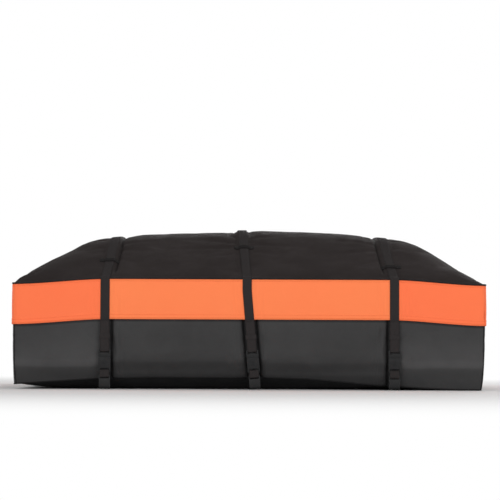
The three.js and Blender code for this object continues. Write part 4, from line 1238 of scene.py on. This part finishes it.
def make_foot_binding(walls):
    """A narrow binding round the bag's foot, where the walls and the bottom are sewn together"""
    line = np.concatenate([walls[side][0] for side in SIDES])
    apart = np.linalg.norm(np.diff(line, axis=0), axis=1) > 0.002
    obj = tube("foot_binding", line[np.concatenate([[True], apart])], FOOT_BINDING_RADIUS, 10, closed=True)
    for vertex in obj.data.vertices:
        vertex.co.z = max(vertex.co.z, 0)
    finish_piece(obj, "piping")


def make_corner_bindings(walls):
    """A binding down each corner seam, from the zip to the foot"""
    sides = list(SIDES)
    for side, following in zip(sides, sides[1:] + sides[:1]):
        seam = (walls[side][:, -1] + walls[following][:, 0]) / 2
        seam = seam[seam[:, 2] < WALL_TOP]
        name = f"{side}_{following}_corner_binding"
        finish_piece(tube(name, seam, CORNER_BINDING_RADIUS, 10, up=(1, 0.3, 0)), "piping")


BOTTOM_INSET = 0.02
BOTTOM_CELLS = (0.016, 0.012)
BOTTOM_CORNER = 0.012
BOTTOM_CLEAR = 0.0008
BOTTOM_RUMPLE = 0.0006


def make_bottom(walls):
    """The bottom panel, which sags to the ground inside its curled edge"""
    half_x, half_y = HALF_LENGTH - BOTTOM_INSET, HALF_WIDTH - BOTTOM_INSET
    lines_x = grid_lines([-half_x, half_x], BOTTOM_CELLS[0])
    lines_y = grid_lines([-half_y, half_y], BOTTOM_CELLS[1])
    y = np.broadcast_to(lines_y[:, None], (len(lines_y), len(lines_x)))
    x = np.broadcast_to(lines_x[None, :], y.shape)
    front, right = walls["front"][0], walls["right"][0]
    half_at_x = np.interp(x, front[:, 0], -front[:, 1])
    half_at_y = np.interp(y, right[:, 1], right[:, 0])
    wide_x, wide_y = x / half_x * half_at_y, y / half_y * half_at_x
    plan_x, plan_y = rounded_corner(wide_x, wide_y, half_x, half_y, BOTTOM_CORNER)
    from_edge = np.minimum(half_at_x - np.abs(plan_y), half_at_y - np.abs(plan_x))
    curl = np.clip(1 - from_edge / BELLY_CURL, 0, 1)
    rumple = BOTTOM_RUMPLE * (1 + noise_field(np.stack([x, y, 0 * x], -1), 0.09, 8))
    low = foot_rise(plan_x) * curl**2 + BOTTOM_CLEAR + rumple
    top = np.stack([plan_x, plan_y, low + CLOTH], -1)
    under = np.stack([plan_x, plan_y, low], -1)
    obj = shell("bottom_cloth", top, under, np.stack([x, y], -1))
    # The darker look is painted shade, for the shadow under the bag
    finish_piece(obj, "black_tarpaulin", "bottom_panel", look="bottom_tarpaulin_painted_shade")


TAPE_CELL = 0.01
TAPE_INSET = 0.012
TAPE_CLEAR = 0.0002
TAPE_BACK = TAPE_INSET + TAPE_THICKNESS
# Across a tape: the distance in millimetres from the zip's line and the inset. The coil stands out first.
TAPE_PROFILE = (
    (0.3, TAPE_BACK),
    (0.3, 0.0122),
    (0.5, 0.0111),
    (1.4, 0.0108),
    (2.4, 0.0112),
    (2.8, 0.0122),
    (9.6, 0.0122),
    (9.6, TAPE_BACK),
)


def make_zip():
    """Two tapes with a coil along their joint, under the flap"""
    run = side_run(["left", "front", "right"], ZIP_SEAM, TAPE_CELL)
    for name, way in (("zip_lower_tape", -1), ("zip_upper_tape", 1)):
        offsets, insets = np.array(TAPE_PROFILE)[::way].T
        height = np.broadcast_to((ZIP_HEIGHT + offsets * MM * way)[:, None], (len(insets), len(run["x"])))
        inset = np.broadcast_to(insets[:, None], height.shape)
        obj = standing_shell(f"{name}_coil", run, inset, TAPE_BACK + TAPE_CLEAR - inset, height)
        finish_piece(obj, "zip_tape", name)


# Webbing


def web_strip(name, centres, across, normals):
    """A strip of webbing with slightly rounded edges along a line of centres"""
    u = np.linspace(-1, 1, 9)
    edge = np.sqrt(np.maximum(0, 1 - np.abs(u) ** 12))
    half = WEB_THICKNESS / 2 * (0.35 + 0.65 * edge)
    beside = (u * WEB_WIDTH / 2)[None, :]
    flat = centres[:, None] + across[:, None] * beside[..., None]
    lift = normals[:, None] * half[None, :, None]
    return shell(name, flat + lift, flat - lift, flat_places(beside, run_along(centres)[:, None]))


def arc(centre_y, centre_z, radius, start, end, steps):
    angles = np.linspace(start, end, steps + 1)
    return np.stack([centre_y + radius * np.cos(angles), centre_z + radius * np.sin(angles)], -1)


PIPING_WRAP = PIPING_RADIUS + MAIN_OFFSET
WRAP_END = math.pi / 2 + math.atan(SIDE_SLOPE * 0.85)
BEND_RUN = 0.006
LID_STEPS = 122
LID_FROM = 0.017
LOOP_CLOSING = 0.004
LOOP_CLOSED = 0.014
# The tail lies on the strap up to a share of its length and stands off past it
TAIL_LIES = 0.62
TAIL_LIFT = 0.0011


def front_rows(strap):
    """The strap's tail, its turn round the plug's bar and its rise to the piping: places and tilts"""
    lean = math.atan(lean_slope(strap))
    rise = math.cos(lean)
    leaning = []
    for share in np.linspace(1, 0.1, 12):
        lift = TAIL_LIFT * max(0, share - TAIL_LIES) ** 1.5
        leaning.append((FRONT_PLANE_Y - TURN_RADIUS - lift, PLUG_BAR_AT + TAIL_LENGTH * share))
    leaning += arc(FRONT_PLANE_Y, PLUG_BAR_AT, TURN_RADIUS, math.pi, 2 * math.pi, 14).tolist()
    places = [(y, HARDWARE_BASE + along * rise) for y, along in leaning]
    bend_from = strap["bend_z"] - BEND_RUN
    places += [(FRONT_MAIN_Y, z) for z in np.linspace(places[-1][1], bend_from, 14)[1:]]
    rows = [(float(front_strap_x(strap, z)), y, z, lean) for y, z in places]
    x = strap_line_x(strap, -HALF_WIDTH)
    top = top_seam(x) + FIT_GAP + PIPING_RADIUS
    rise_z = np.linspace(strap["bend_z"] + BEND_RUN, top, 10)
    rows.append((x, FRONT_MAIN_Y, rise_z[0], lean * 0.1))
    rows += [(x, FRONT_MAIN_Y, z, 0) for z in rise_z[1:-1]]
    wrap = arc(-HALF_WIDTH + PIPING_RADIUS, top, PIPING_WRAP, math.pi, WRAP_END, 8)
    return rows + [(x, y, z, 0) for y, z in wrap]


def lid_rows(strap, tree):
    """The strap's run over the lid, which lies on the highest cloth under each of its lines"""
    places = []
    shares = (-1, -0.5, 0, 0.5, 1)
    for y in np.linspace(-HALF_WIDTH + LID_FROM, HALF_WIDTH - LID_FROM, LID_STEPS):
        x = strap_line_x(strap, y)
        heights = [height_over(tree, x + u * HALF_WEB, y) for u in shares]
        slope = (heights[-1] - heights[0]) / WEB_WIDTH
        base = max(h - slope * u * HALF_WEB for h, u in zip(heights, shares))
        places.append((x, y, base, slope))
    x, y, base, slope = np.array(places).T
    smoothed = [base.copy(), slope.copy()]
    for line in smoothed:
        for _ in range(3):
            line[1:-1] = 0.25 * line[:-2] + 0.5 * line[1:-1] + 0.25 * line[2:]
    z = np.maximum(smoothed[0], base) + MAIN_OFFSET
    return np.stack([x, y, z, -np.arctan(smoothed[1])], -1).tolist()


def back_rows(strap):
    """The strap's fall down the back, its turn round the hook's bar and the sewn end of its loop"""
    x = strap_line_x(strap, HALF_WIDTH)
    top = top_seam(x) + FIT_GAP + PIPING_RADIUS
    places = arc(HALF_WIDTH - PIPING_RADIUS, top, PIPING_WRAP, math.pi - WRAP_END, 0, 8).tolist()
    loop_z = HARDWARE_BASE + LINK_LOW_TURN
    places += [(BACK_MAIN_Y, z) for z in np.linspace(top, loop_z, 26)[1:-1]]
    places += arc(BACK_PLANE_Y, loop_z, LINK_TURN, -math.pi, 0, 14).tolist()
    turned_y = BACK_PLANE_Y + LINK_TURN
    backed_y = BACK_MAIN_Y + WEB_THICKNESS + FIT_GAP
    for share in np.linspace(0, 1, 7):
        y = turned_y + (backed_y - turned_y) * smooth_ramp(share)
        places.append((y, loop_z + LOOP_CLOSING + LOOP_CLOSED * share))
    sewn = np.linspace(LOOP_CLOSING + LOOP_CLOSED, BACK_LOOP_END, 6)[1:]
    places += [(backed_y, loop_z + z) for z in sewn]
    return [(x, y, z, 0) for y, z in places]


def strap_frames(strap, tree):
    """Centres, directions across and normals of a strap, from its tail to the loop at the back"""
    rows = np.array(front_rows(strap) + lid_rows(strap, tree) + back_rows(strap))
    centres, tilt = rows[:, :3], rows[:, 3]
    across = np.stack([np.cos(tilt), 0 * tilt, -np.sin(tilt)], -1)
    return centres, across, unit(np.cross(across, np.gradient(centres, axis=0)))


BLEND_TOP = 0.29
BLEND_DROP = 0.0835
BLEND_FORWARD = 0.28
BOX_LENGTH = 0.03
BOX_WIDTH = 0.019
BOX_RISE = 0.038


def crossed_box(corners, steps):
    """The lines of a sewn box with a cross in it, each with as many points as steps"""
    pairs = ((0, 1), (1, 2), (2, 3), (3, 0), (0, 2), (1, 3))
    return [corners[i] + (corners[j] - corners[i]) * np.linspace(0, 1, steps)[:, None] for i, j in pairs]


def make_strap(strap, tree):
    """One piece of webbing, blended from the bag to the plug, and the sewn box at its back loop"""
    name = strap["name"]
    obj = web_strip(f"{name}_strap_web", *strap_frames(strap, tree))
    finish_piece(obj, "webbing", f"{name}_strap", body=None)
    start = (strap["x"], -HALF_WIDTH, BLEND_TOP)
    end = (strap["x"], -HALF_WIDTH - BLEND_FORWARD * BLEND_DROP, BLEND_TOP - BLEND_DROP)
    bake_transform(obj, "bag", f"{name}_plug", start=start, end=end)
    x = strap_line_x(strap, HALF_WIDTH)
    y = BACK_MAIN_Y + WEB_THICKNESS * 1.5 + FIT_GAP
    z = HARDWARE_BASE + LINK_LOW_TURN + BOX_RISE
    ways = ((-1, -1), (-1, 1), (1, 1), (1, -1))
    corners = np.array([(x + side * BOX_WIDTH / 2, y, z + up * BOX_LENGTH / 2) for side, up in ways])
    lines = [(line, np.repeat([[0.0, 1.0, 0.0]], 6, 0)) for line in crossed_box(corners, 6)]
    stitching(f"{name}_back_loop_stitching", lines, "webbing", "black_thread")


# Keepers: a hump over the strap between two sewn feet

KEEPER_HUMP = HALF_WEB + 0.0012
KEEPER_FOOT = HALF_WEB + 0.0042
KEEPER_HALF = HALF_WEB + 0.0155
KEEPER_HALF_WIDTH = 0.01
KEEPER_THICKNESS = 0.0016
HUMP_CLEAR = 0.0009
HUMP_SLOPE = 0.003
FOOT_ROWS = 7
HUMP_ROWS = 13
KEEPER_PITCH = 0.0038


def make_keeper(strap, end, way, tree):
    """A short strip sewn to the lid on both sides of a strap, which passes under it"""
    name = strap["name"]
    y = way * strap["keeper_y"]
    x = strap_line_x(strap, y)
    hump = np.linspace(-KEEPER_HUMP, KEEPER_HUMP, HUMP_ROWS)
    foot = np.linspace(KEEPER_FOOT, KEEPER_HALF, FOOT_ROWS)
    offsets = np.concatenate([-foot[::-1], hump, foot])
    along = np.linspace(-1, 1, 7) * KEEPER_HALF_WIDTH
    places = [[(x + a, y + b) for b in along] for a in offsets]
    face = np.array([[(*at, height_over(tree, *at) + FIT_GAP) for at in row] for row in places])
    raised = slice(FOOT_ROWS, FOOT_ROWS + HUMP_ROWS)
    edge = smooth_ramp((KEEPER_HUMP - np.abs(hump)) / HUMP_SLOPE)
    lifted = face[raised, :, 2] + ((WEB_THICKNESS + HUMP_CLEAR) * (0.55 + 0.45 * edge))[:, None]
    face[raised, :, 2] = np.maximum(lifted, np.linspace(lifted[0], lifted[-1], HUMP_ROWS))
    normals = -grid_normals(face)
    normals = normals * np.sign(normals[..., 2:3])
    edge = np.sqrt(np.maximum(0, 1 - np.abs(np.linspace(-1, 1, 7)) ** 10))
    outer = face + normals * (KEEPER_THICKNESS * (0.4 + 0.6 * edge))[None, :, None]
    uv = flat_places(along[None, :], (offsets + KEEPER_HALF)[:, None])
    obj = shell(f"{name}_{end}_keeper_web", face, outer, uv)
    finish_piece(obj, "webbing", f"{name}_{end}_strap_keeper", look="keeper_webbing")
    lines = []
    inside = np.arange(1, 6)
    for part in (slice(0, FOOT_ROWS), slice(-FOOT_ROWS, None)):
        sewn = outer[part], normals[part]
        lines += [tuple(grid[:, column] for grid in sewn) for column in (1, 5)]
        lines += [tuple(grid[row, 1:6] for grid in sewn) for row in (1, 5)]
        lines += [tuple(grid[inside, columns] for grid in sewn) for columns in (inside, 6 - inside)]
    stitching(f"{name}_{end}_keeper_stitching", lines, "webbing", "keeper_thread", KEEPER_PITCH)


# Hardware: the part's own shapes with their flat faces merged and their edges rounded


FLAT_ANGLE = math.radians(1)
BEVEL_ANGLE = math.radians(35)
SHARP_ANGLE = math.radians(38)


def refined(node, bevel, slot_name, body):
    """A node of the part with its flat faces merged and its sharp edges rounded"""
    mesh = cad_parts[node].data.copy()
    mesh.name = f"{node}_finished"
    work = bmesh.new()
    work.from_mesh(mesh)
    bmesh.ops.remove_doubles(work, verts=work.verts, dist=1e-6)
    bmesh.ops.dissolve_limit(work, angle_limit=FLAT_ANGLE, verts=work.verts, edges=work.edges)
    sharp = [e for e in work.edges if len(e.link_faces) == 2 and e.calc_face_angle(0) > BEVEL_ANGLE]
    bmesh.ops.bevel(
        work,
        geom=sharp,
        offset=bevel,
        offset_type="OFFSET",
        segments=2,
        profile=0.6,
        affect="EDGES",
        clamp_overlap=True,
    )
    work.to_mesh(mesh)
    work.free()
    for attribute in [a.name for a in mesh.attributes if a.name.startswith("custom_normal")]:
        mesh.attributes.remove(mesh.attributes[attribute])
    obj = bpy.data.objects.new(f"{node}_finished", mesh)
    bpy.context.scene.collection.objects.link(obj)
    mesh.shade_smooth()
    mesh.set_sharp_from_angle(angle=SHARP_ANGLE)
    return finish_piece(obj, slot_name, node, body=body)


def flat_uv(obj, centre_x):
    """Flat cloth places for a band of webbing that stands across X"""
    co = np.array([v.co for v in obj.data.vertices])
    while obj.data.uv_layers:
        obj.data.uv_layers.remove(obj.data.uv_layers[0])
    set_uv(obj, np.stack([co[:, 0] - centre_x, co[:, 2] + 0.5 * co[:, 1]], -1))


def strap_matrix(strap):
    """From the hardware's own frame to the row frame: X across, Y into the bag, Z up the strap"""
    lean = math.atan(lean_slope(strap))
    place = Matrix.Translation((strap["foot_x"], FRONT_PLANE_Y, HARDWARE_BASE))
    return place @ Matrix.Rotation(lean, 4, "Y")


BUCKLE_HALF_DEPTH = 0.0045


def add_ribs(name, strap, heights, width, depth, slot_name, body):
    """Rounded grip ribs on a moulding's front face, each a stretched ball"""
    vertices = []
    faces = []
    for z in heights:
        work = bmesh.new()
        bmesh.ops.create_uvsphere(work, u_segments=14, v_segments=8, radius=0.5)
        place = Matrix.Translation((0, -BUCKLE_HALF_DEPTH, z * MM))
        stretch = Matrix.Diagonal((width, depth, depth, 1))
        bmesh.ops.transform(work, matrix=strap_matrix(strap) @ place @ stretch, verts=work.verts)
        first = len(vertices)
        work.verts.ensure_lookup_table()
        vertices.extend(tuple(v.co) for v in work.verts)
        faces.extend(tuple(first + v.index for v in f.verts) for f in work.faces)
        work.free()
    obj = add_object(name, vertices, faces)
    obj.data.shade_smooth()
    finish_piece(obj, slot_name, body=body)


SOCKET_RIBS = (66, 69, 72, 75, 78)
PLUG_RIBS = (89, 91.8)


def make_hardware():
    for strap in STRAPS:
        name = strap["name"]
        plug = f"{name}_plug"
        refined(f"{name}_buckle_socket", 0.0007, "buckle_plastic", "bag")
        refined(f"{name}_buckle_plug", 0.0005, "buckle_plastic", plug)
        for end in ("front", "back"):
            refined(f"{name}_{end}_hook", 0.0005, "hook_steel", f"{name}_{end}_door_hook")
        flat_uv(refined(f"{name}_tail_keeper", 0.0003, "webbing", plug), strap["foot_x"])
        flat_uv(refined(f"{name}_hook_webbing", 0.0003, "webbing", "bag"), strap["foot_x"])
        add_ribs(f"{name}_socket_ribs", strap, SOCKET_RIBS, 0.015, 0.0013, "buckle_plastic", "bag")
        add_ribs(f"{name}_plug_ribs", strap, PLUG_RIBS, 0.02, 0.0011, "buckle_plastic", plug)
    for side in ("left", "right"):
        refined(f"{side}_zip_slider", 0.0004, "slider_metal", f"{side}_slider")
        refined(f"{side}_zip_pull", 0.0003, "buckle_plastic", f"{side}_pull")


# Stage: a pale floor that fades into a white background, soft lights and the camera

FLOOR_HALF = 40
FLOOR_DROP = 0.0004
FLOOR_FADE = (1.1, 3.2)
FLOOR_COLOR = (0.84, 0.84, 0.84)
WHITE = (1, 1, 1, 1)


def background_factor(n):
    """1 for rays from the camera and for those mirrored or let through, 0 for the light on the bag"""
    path = n.add("ShaderNodeLightPath").outputs
    seen = n.math("MAXIMUM", path["Is Camera Ray"], path["Is Glossy Ray"])
    return n.math("MAXIMUM", seen, path["Is Transmission Ray"])


def make_floor():
    corners = [(x * FLOOR_HALF, y * FLOOR_HALF, 0) for x, y in ((-1, -1), (1, -1), (1, 1), (-1, 1))]
    floor = add_object("floor", corners, [(0, 1, 2, 3)])
    floor.location.z = -FLOOR_DROP
    material = new_material("floor", FLOOR_COLOR, 0.9, 0.1)
    n = Nodes(material)
    white = n.add("ShaderNodeEmission", Color=WHITE, Strength=1)
    distance = n.calculate("ShaderNodeVectorMath", "LENGTH", n.place()).outputs["Value"]
    fade = n.ramp(distance, *FLOOR_FADE)
    fade.node.interpolation_type = "SMOOTHSTEP"
    factor = n.math("MULTIPLY", fade, background_factor(n))
    shader = n.tree.nodes["Principled BSDF"].outputs["BSDF"]
    n.mix_shaders(factor, shader, white.outputs["Emission"], n.tree.nodes["Material Output"])
    floor.data.materials.append(material)


def make_world(ambient):
    world = bpy.data.worlds.new("studio")
    bpy.context.scene.world = world
    world.use_nodes = True
    n = Nodes(world)
    soft = n.tree.nodes["Background"]
    n.put(soft.inputs["Color"], WHITE)
    n.put(soft.inputs["Strength"], ambient)
    white = n.add("ShaderNodeBackground", Color=WHITE, Strength=1)
    backgrounds = (soft.outputs["Background"], white.outputs["Background"])
    n.mix_shaders(background_factor(n), *backgrounds, n.tree.nodes["World Output"])


def add_light(name, place, target, size, power):
    data = bpy.data.lights.new(name, "AREA")
    data.shape = "RECTANGLE"
    data.size, data.size_y = size
    data.energy = power
    lamp = bpy.data.objects.new(name, data)
    lamp.location = place
    aim = Vector(target) - Vector(place)
    lamp.rotation_euler = aim.to_track_quat("-Z", "Y").to_euler()
    bpy.context.scene.collection.objects.link(lamp)


CAMERA_PLACE = (0.0, -5.9, 0.095)
FOCAL_PIXELS = 1968.8
PICTURE_PIXELS = 500
SENSOR = 36.0
HORIZON_ROW = 355
CAMERA_ROLL = 0.0042
AMBIENT = 0.3


def make_camera():
    data = bpy.data.cameras.new("camera")
    data.sensor_width = SENSOR
    data.lens = FOCAL_PIXELS / PICTURE_PIXELS * SENSOR
    data.clip_start = 0.05
    data.clip_end = 200
    camera = bpy.data.objects.new("camera", data)
    pitch = math.atan((HORIZON_ROW - PICTURE_PIXELS / 2) / FOCAL_PIXELS)
    turn = Matrix.Rotation(math.pi / 2 + pitch, 4, "X") @ Matrix.Rotation(CAMERA_ROLL, 4, "Z")
    camera.matrix_world = Matrix.Translation(CAMERA_PLACE) @ turn
    bpy.context.scene.collection.objects.link(camera)
    bpy.context.scene.camera = camera


make_camera()
make_floor()
make_world(AMBIENT)
add_light("front_soft", (-1.2, -4.6, 1.1), (0, -0.3, 0.15), (3.6, 1.8), 95)
add_light("front_fill", (2.2, -4.2, 0.9), (0.1, -0.3, 0.15), (2.6, 1.6), 56)
add_light("top_soft", (0.2, 0.3, 3.4), (0, 0, 0.2), (3.0, 3.0), 14)
add_light("back_soft", (0.8, 4.2, 1.6), (0, 0.2, 0.2), (3.4, 2.0), 90)
add_light("left_soft", (-4.4, 0.8, 1.2), (-0.5, 0.1, 0.2), (2.4, 1.6), 50)
add_light("right_soft", (4.4, 0.8, 1.2), (0.5, 0.1, 0.2), (2.4, 1.6), 50)

lid_tree = make_lid()
walls = make_walls()
make_skirt()
for seed, side in enumerate(SIDES):
    make_flap(side, 11 + 2 * seed)
make_piping()
make_foot_binding(walls)
make_corner_bindings(walls)
make_bottom(walls)
make_zip()
for strap in STRAPS:
    make_strap(strap, lid_tree)
    for end, way in (("front", -1), ("back", 1)):
        make_keeper(strap, end, way, lid_tree)
make_hardware()

bpy.context.scene.view_settings.view_transform = "Standard"
